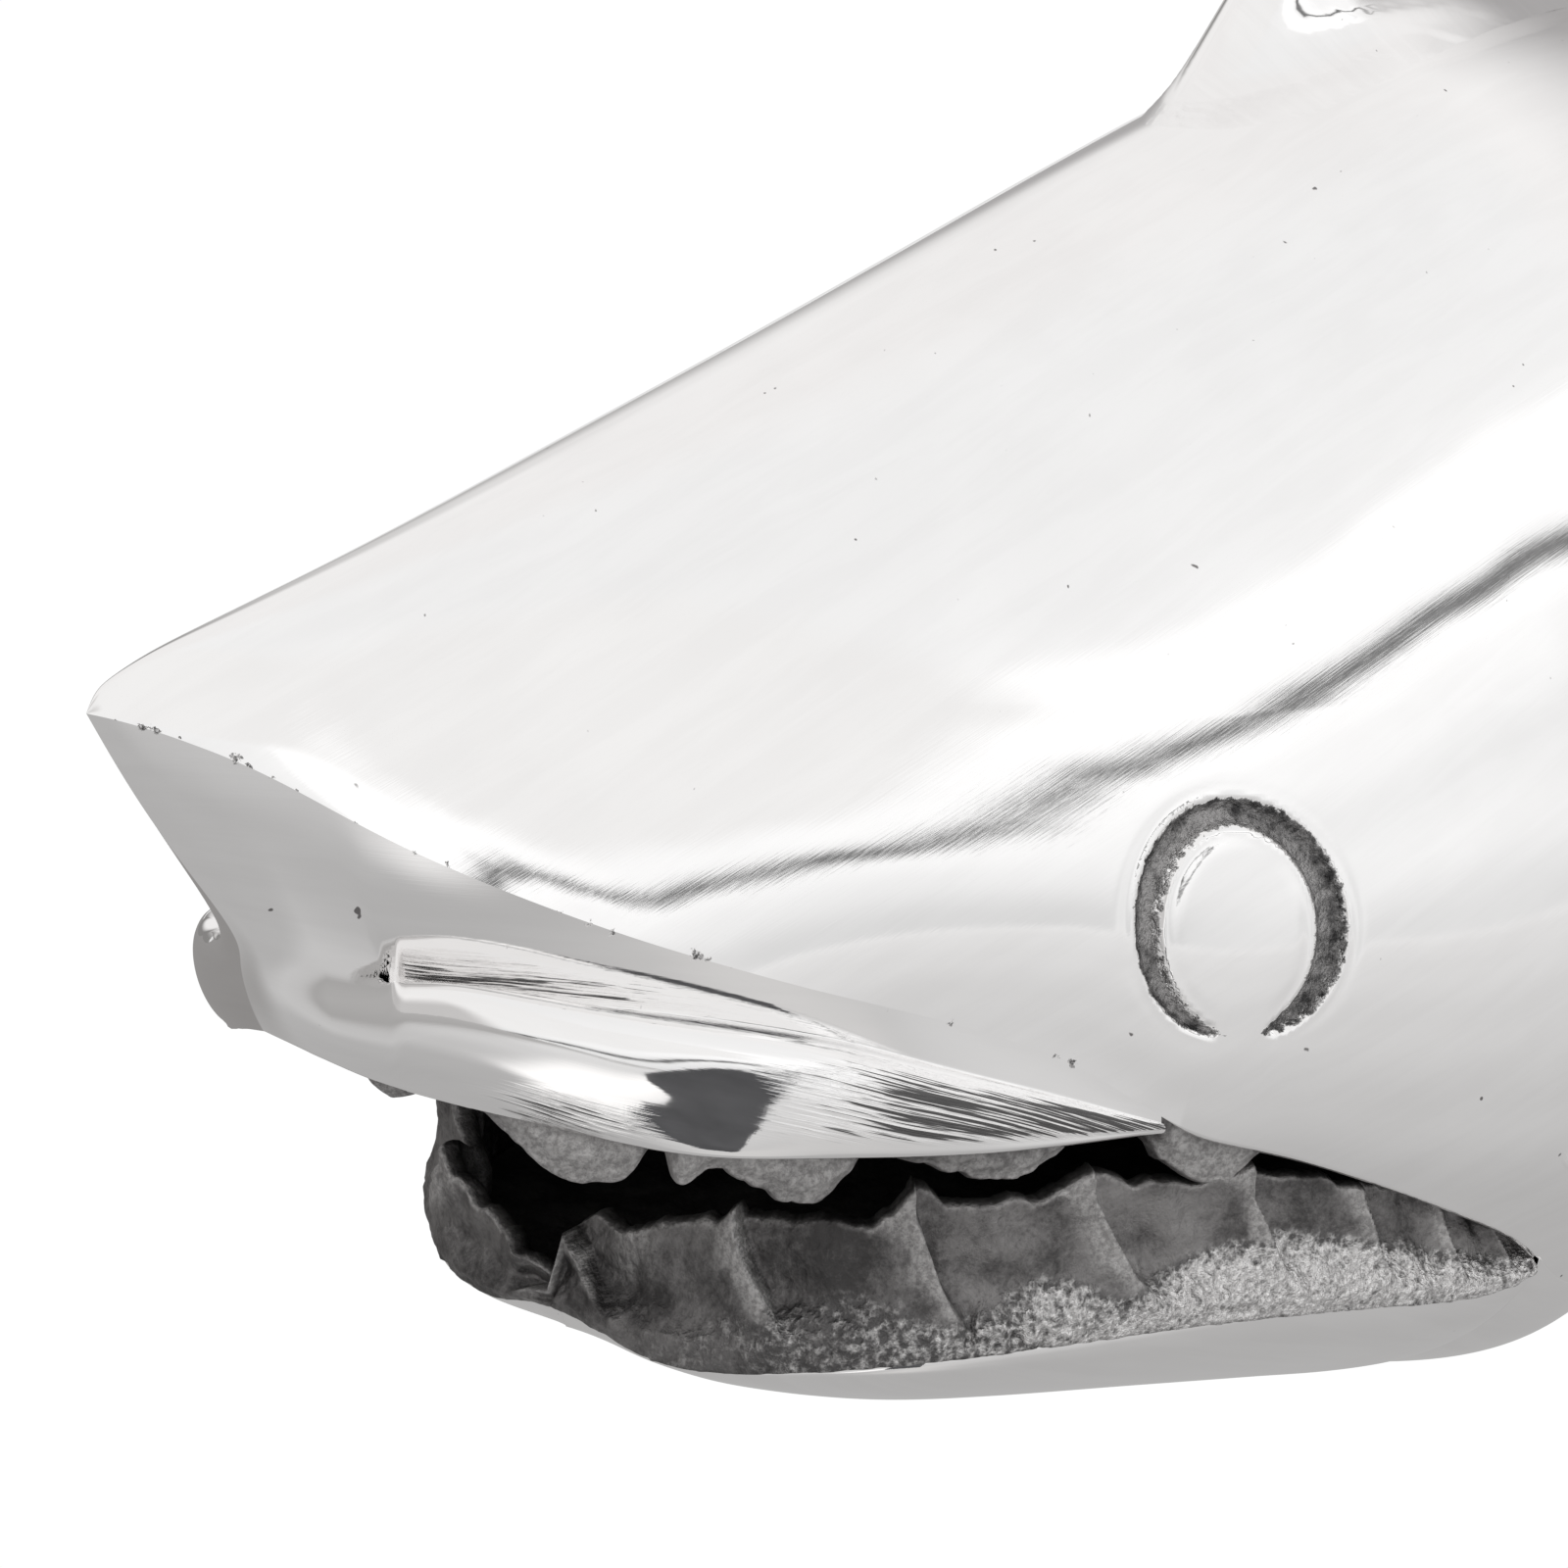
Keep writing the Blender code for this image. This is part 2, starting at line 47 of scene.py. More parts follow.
NOSE_X = -510.5
BODY_END = 872.0


# ---------------------------------------------------------------- curves
def lane(*rows):
    """A smooth curve through rows of (position, value, ...), as a function of the position."""
    rows = np.array(rows, float)
    x, y = rows[:, 0], rows[:, 1:]
    step = x[1:] - x[:-1]
    slope = (y[1:] - y[:-1]) / step[:, None]
    tangent = np.zeros_like(y)
    tangent[0], tangent[-1] = slope[0], slope[-1]
    tangent[1:-1] = (slope[:-1] * step[1:, None] + slope[1:] * step[:-1, None]) / (step[1:] + step[:-1])[:, None]

    def at(t):
        t = np.clip(np.asarray(t, float), x[0], x[-1])
        i = np.clip(np.searchsorted(x, t, side="right") - 1, 0, len(x) - 2)
        s, d = ((t - x[i]) / step[i])[..., None], step[i][..., None]
        value = (
            (2 * s**3 - 3 * s**2 + 1) * y[i]
            + (s**3 - 2 * s**2 + s) * d * tangent[i]
            + (3 * s**2 - 2 * s**3) * y[i + 1]
            + (s**3 - s**2) * d * tangent[i + 1]
        )
        return value[..., 0] if value.shape[-1] == 1 else value

    return at


def fair(curve, start, end, width, points=1400, stop=0.35):
    """The curve evened out over a width that shrinks to nothing at its two ends, so that mirror-like skin has no kinks."""
    x = np.linspace(start, end, points)
    y = curve(x).reshape(points, -1)
    w = np.minimum(width, stop * np.minimum(x - start, end - x)) + (end - start) / points * 0.4
    k = np.exp(-0.5 * ((x[:, None] - x[None]) / w[:, None]) ** 2)
    y = (k @ y) / k.sum(1)[:, None]
    return lane(*[(p, *v) for p, v in zip(x, y)])


TOP = fair(lane(
    (0, 0), (1.5, 3), (5, 5.5), (10, 7.8), (16, 10.2), (24, 12.6), (61, 24.4), (105, 40),
    (153, 57.4), (205, 77.3), (259, 98), (320, 119.5), (400, 131), (480, 132), (560, 123),
    (650, 105), (740, 80), (820, 55), (850, 46), (880, 41)), 0, 880, 14)  # fmt: skip
EDGE = fair(lane(
    (0, 0, 0), (3, 2.6, -0.6), (8, 5.2, -2), (20, 12, -6.5), (43.5, 24, -19.5), (75, 38.5, -33),
    (109, 52.5, -44), (142, 64.5, -53), (165, 73, -61), (186, 82, -73.5), (210, 90, -80),
    (234, 98, -88), (256, 103, -96.4), (268, 105.3, -101.3), (273.5, 106, -104.2), (276, 106, -107), (330, 106, -106), (400, 99, -96),
    (480, 89, -80), (560, 75, -64), (650, 56, -44), (740, 37, -22), (820, 20, -3), (850, 13, 5), (880, 7, 10)), 0, 880, 5)  # fmt: skip
KEEL = fair(lane(
    (119, -122), (128, -125.5), (140, -130.5), (165, -137), (200, -142), (276, -149), (330, -153),
    (400, -151), (480, -139), (560, -117), (650, -87), (740, -56), (820, -28), (850, -17), (880, -9)), 119, 880, 12)  # fmt: skip
LIP = fair(lane(
    (0, 41, 0, -56), (0.06, 43.5, 10, -57.5), (0.12, 49, 18.5, -60.5), (0.18, 57, 26, -63),
    (0.26, 69, 37, -66), (0.38, 91, 51.5, -71), (0.5, 115, 62, -72.5), (0.62, 141, 73, -73),
    (0.8, 186, 82, -73.5)), 0, 0.8, 0.022)  # fmt: skip
GROOVE = fair(lane(
    (0, 36, 0, -41), (0.05, 38.5, 6, -42.5), (0.14, 53, 17, -47.5), (0.26, 75, 31, -49),
    (0.38, 97, 43, -51), (0.5, 121, 55, -55.3), (0.62, 139, 63, -60.5), (0.8, 186, 82, -73.5)), 0, 0.8, 0.022)  # fmt: skip
CREASE_AT = fair(lane((0, 0), (0.05, 8), (0.14, 36), (0.26, 64), (0.38, 90), (0.5, 117), (0.62, 138), (0.8, 186)), 0, 0.8, 0.02)
RIM = fair(lane(
    (0, 117, 0, -118), (0.05, 117.3, 9, -119), (0.1, 119, 18, -121.5), (0.17, 122, 32.5, -121),
    (0.25, 129, 45.5, -118.5), (0.35, 141, 58, -116), (0.5, 169, 71, -114), (0.65, 205, 84, -112.5),
    (0.8, 240, 95, -113), (0.89, 260, 101, -113.4), (0.955, 271, 104.3, -111.6), (0.985, 275.2, 105.8, -109.2), (1, 276, 106, -107)), 0, 1, 0.01)  # fmt: skip
KEEL_AT = fair(lane((0, 119), (0.1, 125), (0.17, 134), (0.25, 146), (0.35, 162), (0.5, 186), (0.65, 213), (0.8, 243), (1, 276)), 0, 1, 0.03)
CHIN = fair(lane((0, -0.5), (0.1, 2), (0.25, 6.5), (0.45, 7), (0.7, 4), (1, 0)), 0, 1, 0.04)
LEAN = fair(lane((0, -50), (20, -42), (43, -32), (75, -20), (109, -6), (142, 4), (186, 14), (234, 18), (276, 22), (330, 29), (400, 33), (880, 33)), 0, 880, 14)
ROOF = fair(lane((0, 0.5), (60, 0.46), (142, 0.4), (234, 0.36), (330, 0.42), (400, 0.55), (560, 0.8), (880, 0.95)), 0, 880, 20)
FLANK = fair(lane((0, 0.4), (60, 0.42), (142, 0.42), (276, 0.44), (400, 0.46), (880, 0.46)), 0, 880, 20)
BILGE = fair(lane((0, 0.49), (240, 0.5), (330, 0.62), (500, 0.6), (880, 0.56)), 0, 880, 20)
SWELL = fair(lane((0, 2.5), (0.06, 4), (0.12, 8.2), (0.2, 10.2), (0.3, 8), (0.4, 6.5), (0.5, 5.5), (0.62, 3.5), (0.74, 1.2), (0.8, 0.3)), 0, 0.8, 0.02)
# How far the band stands up over the groove, against how far it stands out.
ROLL = lane((0, 0.5), (0.1, 0.75), (0.17, 1.05), (0.25, 0.9), (0.4, 0.55), (0.8, 0.4))


def bezier(p0, p1, p2, p3, t):
    """Points at the shares t of one curve, or of many at once."""
    t = np.asarray(t, float)[..., None]
    return (1 - t) ** 3 * p0 + 3 * (1 - t) ** 2 * t * p1 + 3 * (1 - t) * t**2 * p2 + t**3 * p3


def vec(*parts):
    return np.stack(np.broadcast_arrays(*[np.asarray(p, float) for p in parts]), -1)


def back_grid(a, t):
    """Left half of the skin of the upper casting: rows along a, columns from the back to the lower edge."""
    top, edge = TOP(a), EDGE(a)
    w, h = edge[:, 0], edge[:, 1]
    lean = np.radians(LEAN(a))
    reach = FLANK(a) * (top - h)
    p0, p1 = vec(a, 0, top), vec(a, ROOF(a) * w, top)
    p2 = vec(a, w + np.sin(lean) * reach, h + np.cos(lean) * reach)
    p3 = vec(a, w, h)
    return bezier(p0[:, None], p1[:, None], p2[:, None], p3[:, None], t[None, :])


def belly_grid(rim, keel_a, lean, t, swell):
    """Left half of the skin of the lower casting: columns from its rim to the keel."""
    down = BILGE(keel_a)
    keel = vec(keel_a, 0, KEEL(keel_a))
    deep = np.maximum(rim[:, 2] - keel[:, 2], 1e-6)
    tuck = np.minimum(np.sin(lean) * down * deep, 0.5 * rim[:, 1])
    out = rim + vec(0.3 * (keel_a - rim[:, 0]), -tuck, -np.cos(lean) * down * deep) + swell
    inn = keel + vec(0, (down + 0.1) * rim[:, 1], 0)
    return bezier(rim[:, None], out[:, None], inn[:, None], keel[:, None], t[None, :])


def outward(curve, s, end):
    """Level direction out of a closed-front curve of (a, w, h) at the shares s."""
    d = curve(np.minimum(s + 0.004, end)) - curve(np.maximum(s - 0.004, 0))
    n = vec(-d[:, 1], d[:, 0], 0)
    n[s <= 0.004] = (-1, 0, 0)
    return n / np.linalg.norm(n, axis=1)[:, None]


def stand(points):
    """Own frame in mm to the standing frame in metres."""
    p = np.asarray(points, float).reshape(-1, 3)
    c, s = np.cos(np.radians(PITCH)), np.sin(np.radians(PITCH))
    return np.stack([p[:, 0] * c + p[:, 2] * s + NOSE_X, -p[:, 1], -p[:, 0] * s + p[:, 2] * c + NOSE_HEIGHT], -1) / 1000


def turned(v):
    """A direction of the own frame in the standing one."""
    c, s = np.cos(np.radians(PITCH)), np.sin(np.radians(PITCH))
    return np.stack([v[..., 0] * c + v[..., 2] * s, -v[..., 1], -v[..., 0] * s + v[..., 2] * c], -1)


def both(half):
    """Columns from the middle outwards, made whole from the left edge to the right one."""
    return np.concatenate([half[:, ::-1], half[:, 1:] * np.array([1, -1, 1])], 1)


def step(x, low, high):
    x = np.clip((x - low) / (high - low), 0, 1)
    return x * x * (3 - 2 * x)


def lattice(i, seed):
    x = (i[..., 0] * 73856093) ^ (i[..., 1] * 19349663) ^ (i[..., 2] * 83492791) ^ (seed * 668265263)
    x = x & 0xFFFFFFFF
    x = ((x ^ (x >> 13)) * 1274126177) & 0xFFFFFFFF
    x = ((x ^ (x >> 16)) * 974634731) & 0xFFFFFFFF
    return ((x ^ (x >> 15)) & 0xFFFF) / 32767.5 - 1


def grain(points, size, seed=1, octaves=3, fall=0.5):
    """Cloudy relief between about -1 and 1 with lumps of the size in mm, the same on every run."""
    total, weight, strength = 0.0, 0.0, 1.0
    for octave in range(octaves):
        p = points / size * 2**octave + 31.7 * octave
        i = np.floor(p).astype(np.int64)
        f = p - i
        f = f * f * f * (f * (f * 6 - 15) + 10)
        value = 0.0
        for corner in range(8):
            c = np.array([corner & 1, corner >> 1 & 1, corner >> 2 & 1])
            value = value + lattice(i + c, seed + octave) * np.prod(np.where(c, f, 1 - f), -1)
        total, weight, strength = total + value * strength, weight + strength, strength * fall
    return total / weight * 1.6


def grid_normals(p):
    du, dv = np.gradient(p, axis=0), np.gradient(p, axis=1)
    n = np.cross(du, dv)
    size = np.linalg.norm(n, axis=-1, keepdims=True)
    bad = size[..., 0] < 1e-9
    n = n / np.maximum(size, 1e-12)
    if bad[0].any():
        n[0] = n[1]
    return n


# ---------------------------------------------------------------- skin of the upper casting
def stations(*spans):
    """Positions with the spacing of each (start, end, spacing), without the last one."""
    runs = [np.linspace(s, e, max(int(round((e - s) / d)), 1), endpoint=False) for s, e, d in spans]
    return np.concatenate(runs)


EYE = dict(a=193.6, h=-36.8, ra=18.2, rh=19.6)
A = np.append(stations((0, 6, 0.5), (6, 160, 1.1), (160, 222, 0.65), (222, 300, 1.2), (300, 440, 2.4), (440, BODY_END, 5)), BODY_END)
T = np.append(stations((0, 0.2, 0.008), (0.2, 0.62, 0.0145), (0.62, 0.95, 0.0048), (0.95, 1, 0.008)), 1.0)
LIP_FROM, LIP_TO = 186.0, 276.0


def eye_field(p):
    """Distance in mm from the middle line of the ring round the eye, and the half width of its groove there."""
    da, dh = p[..., 0] - EYE["a"], p[..., 2] - EYE["h"]
    x, y = da / EYE["ra"], dh / EYE["rh"]
    r = np.sqrt(x * x + y * y) + 1e-9
    away = (r - 1) * np.hypot(x * EYE["ra"], y * EYE["rh"]) / r
    turn = np.degrees(np.arctan2(y, x)) % 360
    half = EYE_HALF(turn)
    return away, half


# Half width of the eye's groove round its ring, by the angle from the tail side over the top: it dies out at the bottom.
EYE_HALF = lane(
    (0, 3.6), (40, 3.3), (90, 2.6), (135, 2.8), (180, 2.6), (215, 2.2), (238, 1.5), (250, 1.0), (258, 0.3), (266, -0.8), (272, -1.2),
    (278, -0.6), (286, 0.6), (296, 1.5), (315, 2.5), (335, 3.2), (360, 3.6))  # fmt: skip


def skin_of_back():
    half = back_grid(A, T)
    # The groove of the eye's ring, with a soft shoulder outside and inside it.
    away, width = eye_field(half)
    near = np.maximum(width, 0)
    trench = (1 - step(np.abs(away) / np.maximum(near, 0.4), 0.45, 1.0)) * step(near, 0.2, 2.0)
    shoulder = np.exp(-(((np.abs(away) - near - 1.3) / 1.3) ** 2)) * step(near, 0.2, 2.0)
    n = grid_normals(half)
    n *= np.sign(n[len(A) // 2, -1, 1] or 1)
    half = half - n * (1.9 * trench + 0.12 * shoulder)[..., None]
    # Lower edge turned in, thick along the lip and only a touch elsewhere.
    inward = 0.25 + 5.2 * step(A, LIP_FROM - 6, LIP_FROM + 6) * (1 - step(A, LIP_TO - 3, LIP_TO + 6))
    inward = np.minimum(inward, 0.4 * EDGE(A)[:, 0])
    edge = half[:, -1]
    turn = [(0.06, -0.10), (0.18, -0.17), (0.36, -0.16), (0.62, 0.0), (1.0, 0.35)]
    lips = np.stack([edge + vec(0, -inward * x, inward * z) for x, z in turn], 1)
    return half, lips


HALF_BACK, BACK_LIPS = skin_of_back()


# ---------------------------------------------------------------- underside of the snout
S = np.append(stations((0, 0.12, 0.004), (0.12, 0.2, 0.0025), (0.2, 0.785, 0.004)), 0.785)
WALLS, BANDS = 34, 46


def snout_grid(s):
    crease_a = CREASE_AT(s)
    e = EDGE(crease_a)
    crease, groove, lip = vec(crease_a, e[:, 0], e[:, 1]), GROOVE(s), LIP(s)
    out = outward(LIP, s, 0.8)
    t = np.linspace(0, 1, WALLS + 1)[None, :, None]
    wall = crease[:, None] + (groove - crease)[:, None] * t
    wall = wall + np.array([-0.75, 0, -0.66]) * 1.9 * np.sin(np.pi * t) * (1 - 0.55 * t) * (1 - step(s, 0.08, 0.35))[:, None, None]
    t = np.linspace(0, 1, BANDS + 1)[None, 1:, None]
    rise = vec(0, 0, ROLL(s))[:, None] * (1 - t)
    bulge = SWELL(s)[:, None, None] * np.sin(np.pi * t**0.65) ** 0.8
    band = groove[:, None] + (lip - groove)[:, None] * t + (out[:, None] + rise) * bulge
    rows = np.concatenate([wall, band], 1)
    # The stem of the snout runs into the band in one sweep between the two ends of the groove.
    smooth = rows.copy()
    for _ in range(60):
        smooth[:, 1:-1] = 0.25 * smooth[:, :-2] + 0.5 * smooth[:, 1:-1] + 0.25 * smooth[:, 2:]
    light = rows.copy()
    for _ in range(3):
        light[:, 1:-1] = 0.25 * light[:, :-2] + 0.5 * light[:, 1:-1] + 0.25 * light[:, 2:]
    share = step(s, 0.128, 0.15)[:, None, None]
    rows = smooth * (1 - share) + light * share
    edge, r = rows[:, -1], np.minimum(5.0, 0.5 + 0.5 * lip[:, 1])[:, None]
    turn = [(0.06, -0.10), (0.18, -0.17), (0.36, -0.16), (0.62, 0.0), (1.0, 0.35)]
    under = np.stack([edge + (vec(0, 0, z) - out * x) * r for x, z in turn], 1)
    rows = np.concatenate([rows, under], 1)
    rows[..., 1] = np.maximum(rows[..., 1], 0) if s[0] > 0 else np.where(s[:, None] <= 0, 0, np.maximum(rows[..., 1], 0))
    return rows


SNOUT = snout_grid(S)


def evened(rows, width):
    """Each row of points evened out along its own length, with both its ends kept."""
    out = rows.copy()
    for k, row in enumerate(rows):
        length = np.concatenate([[0], np.cumsum(np.linalg.norm(np.diff(row, axis=0), axis=1))])
        w = np.minimum(width, 0.4 * np.minimum(length, length[-1] - length)) + 1e-3
        kernel = np.exp(-0.5 * ((length[:, None] - length[None]) / w[:, None]) ** 2) * np.gradient(length)[None]
        out[k] = (kernel @ row) / kernel.sum(1)[:, None]
    return out




# ---------------------------------------------------------------- skin of the jaw and the belly
def skin_of_belly():
    s = np.append(stations((0, 0.3, 0.004), (0.3, 1, 0.01)), 1.0)
    t = np.append(stations((0, 0.2, 0.008), (0.2, 1, 0.016)), 1.0)
    rim = RIM(s)
    swell = outward(RIM, s, 1) * CHIN(s)[:, None]
    swell[0] = 0
    jaw = belly_grid(rim, KEEL_AT(s), np.radians(8 + 14 * s), t, swell)
    a = np.append(stations((276, 300, 1.4), (300, 420, 3), (420, BODY_END, 6)), BODY_END)[1:]
    e = EDGE(a)
    belly = belly_grid(vec(a, e[:, 0], e[:, 1]), a, np.radians(LEAN(a)), t, 0)
    half = np.concatenate([jaw, belly], 0)
    inward = np.concatenate([4.5 * (1 - step(s, 0.93, 1)) + 0.25, np.full(len(a), 0.25)])
    out = np.concatenate([outward(RIM, s, 1), np.tile([0.0, 1.0, 0.0], (len(a), 1))])
    edge = half[:, 0]
    inward = np.minimum(inward, 0.4 * edge[:, 1] + 0.5)
    turn = [(1.0, -0.25), (0.62, 0.0), (0.3, 0.10), (0.12, 0.09), (0.03, 0.04)]
    lips = np.stack([edge + (vec(0, 0, z) - out * x) * inward[:, None] for x, z in turn], 1)
    half = np.concatenate([lips, half], 1)
    half[..., 1] = np.maximum(half[..., 1], 0)
    return half, len(turn), np.concatenate([s, 1 + (a - 276) / 100])


BELLY, BELLY_TURN, BELLY_S = skin_of_belly()


# ---------------------------------------------------------------- gums and teeth, rough as they left the mould
def lip_path(u):
    a = 186 + (u - 0.8) / 0.2 * 90
    e = EDGE(a)
    tail = vec(a, e[..., 0], e[..., 1])
    return np.where((u <= 0.8)[..., None], LIP(np.minimum(u, 0.8)), tail)


def level_out(path, u):
    d = path(np.minimum(u + 0.004, 1)) - path(np.maximum(u - 0.004, 0))
    n = vec(-d[..., 1], d[..., 0], 0)
    n[u <= 0.004] = (-1, 0, 0)
    return n / np.maximum(np.linalg.norm(n, axis=-1), 1e-9)[..., None]


# Height of the lower gum over the rim, on the left side and on the right one: the two leave a notch in front.
GUM_LEFT = lane(
    (0, 15), (0.03, 17.5), (0.06, 17), (0.1, 24), (0.15, 26.5), (0.19, 27), (0.25, 26), (0.33, 26.5), (0.365, 30), (0.4, 27),
    (0.5, 27), (0.535, 28), (0.6, 26), (0.655, 26), (0.7, 25), (0.8, 22), (0.85, 18.5), (0.9, 15), (0.96, 9.5), (1, 4))  # fmt: skip
GUM_RIGHT = lane(
    (0, 4), (0.05, 7), (0.1, 13), (0.15, 17), (0.2, 23), (0.25, 31), (0.3, 36), (0.365, 35), (0.54, 30), (0.655, 26),
    (0.8, 22), (0.9, 13), (0.96, 6.5), (1, 2.5))  # fmt: skip
CUSPS = np.array([-0.12, 0.0, 0.185, 0.36, 0.53, 0.665, 0.775, 0.86, 0.93, 1.05])


def lower_gum():
    """Rows along the mouth from the right corner round to the left one, columns up the outer face and down the inner."""
    u = np.concatenate([-np.linspace(0, 0.985, 330)[:0:-1], np.linspace(0.0, 0.985, 430)])
    side = np.where(u >= 0, 1.0, -1.0)
    m = np.abs(u)
    rim, out = RIM(m), level_out(RIM, m)
    tall = np.where(side > 0, GUM_LEFT(m), GUM_RIGHT(m))
    v = np.linspace(0, 1, 46)
    face = v[None, :] * np.ones_like(m)[:, None]
    # Ridges run from each cusp down towards the corner; the face between two of them swells up to the next one.
    slant = m[:, None] - 0.085 * (1 - face) ** 1.25 * (1 - 0.5 * step(m, 0.55, 0.9))[:, None]
    i = np.clip(np.searchsorted(CUSPS, slant, side="right") - 1, 0, len(CUSPS) - 2)
    x = np.clip((slant - CUSPS[i]) / (CUSPS[i + 1] - CUSPS[i]), 0, 1)
    bay = x**2.2 * (1 - step(x, 0.962, 1.0)) + 0.25 * np.exp(-(((x - 0.38) / 0.16) ** 2))
    deep = (5.6 - 2.6 * step(m, 0.6, 0.9))[:, None] * step(face, 0.12, 0.6)
    proud = -deep * (1 - bay)
    spike = np.exp(-(((1 - x) / 0.10) ** 2)) * (x < 0.985)
    ragged = grain(vec(u * 300, 0 * u, 0 * u), 5.0, 11, 3)
    height = tall + 3.0 * spike[:, -1] * (m < 0.72) + 1.1 * ragged * step(tall, 3, 10)
    lean = np.where(side > 0, 0.9, 4.0) * (1 - step(m, 0.3, 0.5)) - 3.4 * step(m, 0.72, 0.86)
    shape = 1.4 * np.sin(np.pi * np.clip(face, 0, 1)) ** 0.8 * (1 - step(m, 0.25, 0.4))[:, None]
    offset = 0.4 + lean[:, None] * face**1.4 + shape + proud + 0.5 * np.exp(-(((face - 0.16) / 0.12) ** 2))
    # Two short runs where metal dripped over the edge.
    for at, low, high, wide in ((0.468, 0.02, 0.42, 1.7), (0.424, 0.04, 0.26, 1.3)):
        across = (m - at)[:, None] * 205
        offset = offset - 1.5 * np.exp(-((across / wide) ** 2)) * step(face, low, low + 0.05) * (1 - step(face, high, high + 0.2)) * (side > 0)[:, None]
    outer = rim[:, None] + out[:, None] * offset[..., None]
    outer[..., 2] += -0.3 + (height[:, None] + 0.4) * face
    q = outer * np.where(side > 0, 1, -1)[:, None, None] ** np.array([0, 1, 0])
    low_strip = 1 - step(face, 0.25, 0.55)
    outer = outer + out[:, None] * (0.55 * grain(q, 7.0, 21, 2) * step(face, 0.1, 0.5) + 0.3 * grain(q, 2.2, 25, 2) * (0.5 + 0.8 * low_strip))[..., None]
    # Crest and inner face.
    top = outer[:, -1]
    thick = (5.0 - 2.5 * step(m, 0.6, 0.95))[:, None]
    w = np.linspace(0, 1, 14)[1:]
    inner = np.stack([top - out * thick * min(k * 3.0, 1 + 0.3 * k) + vec(0, 0, 0.9 * np.sin(np.pi * min(k * 3, 1)) - height * max(k - 0.25, 0) / 0.75 * 0.98) for k in w], 1)
    inner = inner + out[:, None] * (0.5 * grain(inner, 5.0, 31, 2))[..., None]
    rows = np.concatenate([outer, inner], 1)
    rows[..., 1] = np.maximum(rows[..., 1], 0.0) * side[:, None]
    share = np.concatenate([face, 1 + 0 * inner[..., 0] + w[None, :]], 1)
    worn = WORN(m)[:, None]
    strong = lane((0, 0.15), (0.15, 0.38), (0.3, 0.52), (0.45, 0.74), (0.56, 1.1), (1, 1.1))(m) * np.where(side > 0, 1.0, 0.4)
    worn = np.concatenate([(1 - step(face * height[:, None], worn - 4.5, worn + 4.5)) * strong[:, None], 0 * inner[..., 0]], 1)
    # Painted highlight on the edges that catch the light: the ridges and the crest, and a streak near the front on the
    # left.
    ridge = 1.15 * np.exp(-(((1 - x) / 0.2) ** 2)) * (1 - step(x, 0.975, 1.0)) * step(face, 0.1, 0.5) * (1 - 0.5 * (m > 0.9))[:, None] + np.exp(-(((face - 1) / 0.04) ** 2)) * 0.55
    ridge = ridge + 0.6 * np.exp(-(((m - 0.075) / 0.028) ** 2))[:, None] * step(face, 0.3, 0.6) * (side > 0)[:, None]
    ridge = np.concatenate([ridge, 0.5 * np.exp(-((w[None, :] / 0.12) ** 2)) + 0 * inner[..., 0]], 1)
    return rows, u, np.clip(ridge, 0, 1), worn


# Height of the strip that the polishing wheel has caught along the foot of the lower gum.
WORN = lane((0, 1), (0.06, 3), (0.12, 8), (0.2, 12), (0.33, 13), (0.42, 7), (0.5, 12), (0.56, 7), (0.62, 12), (0.7, 14), (0.85, 9), (1, 3))
# Drop of the upper lobes under the lip, left and right.
LOBES_LEFT = lane(
    (0, 0.6), (0.1, 0.8), (0.128, 3.2), (0.14, 3.2), (0.16, 1.0), (0.21, 1.0), (0.235, 4), (0.265, 8), (0.31, 9), (0.335, 6.5), (0.35, 0.8),
    (0.365, 0.6), (0.372, 5.5), (0.385, 6.2), (0.395, 3.8), (0.42, 3.8), (0.45, 7), (0.48, 9.5), (0.5, 8.8), (0.515, 4.5), (0.53, 0.6),
    (0.545, 0.8), (0.57, 2.2), (0.61, 4.5), (0.65, 6.5), (0.67, 6.2), (0.695, 3), (0.71, 0.5), (0.775, 0.5), (0.79, 4), (0.805, 7.5),
    (0.825, 8.5), (0.835, 6), (0.845, 0.8), (0.95, 0.5), (1, 0.5))  # fmt: skip
LOBES_RIGHT = lane(
    (0, 0.4), (0.1, 0.3), (0.4, 0.3), (0.44, 4), (0.48, 8), (0.5, 8), (0.53, 1), (0.58, 3), (0.65, 6), (0.68, 5), (0.71, 0.5),
    (0.79, 2), (0.82, 6), (0.845, 0.8), (1, 0.5))  # fmt: skip


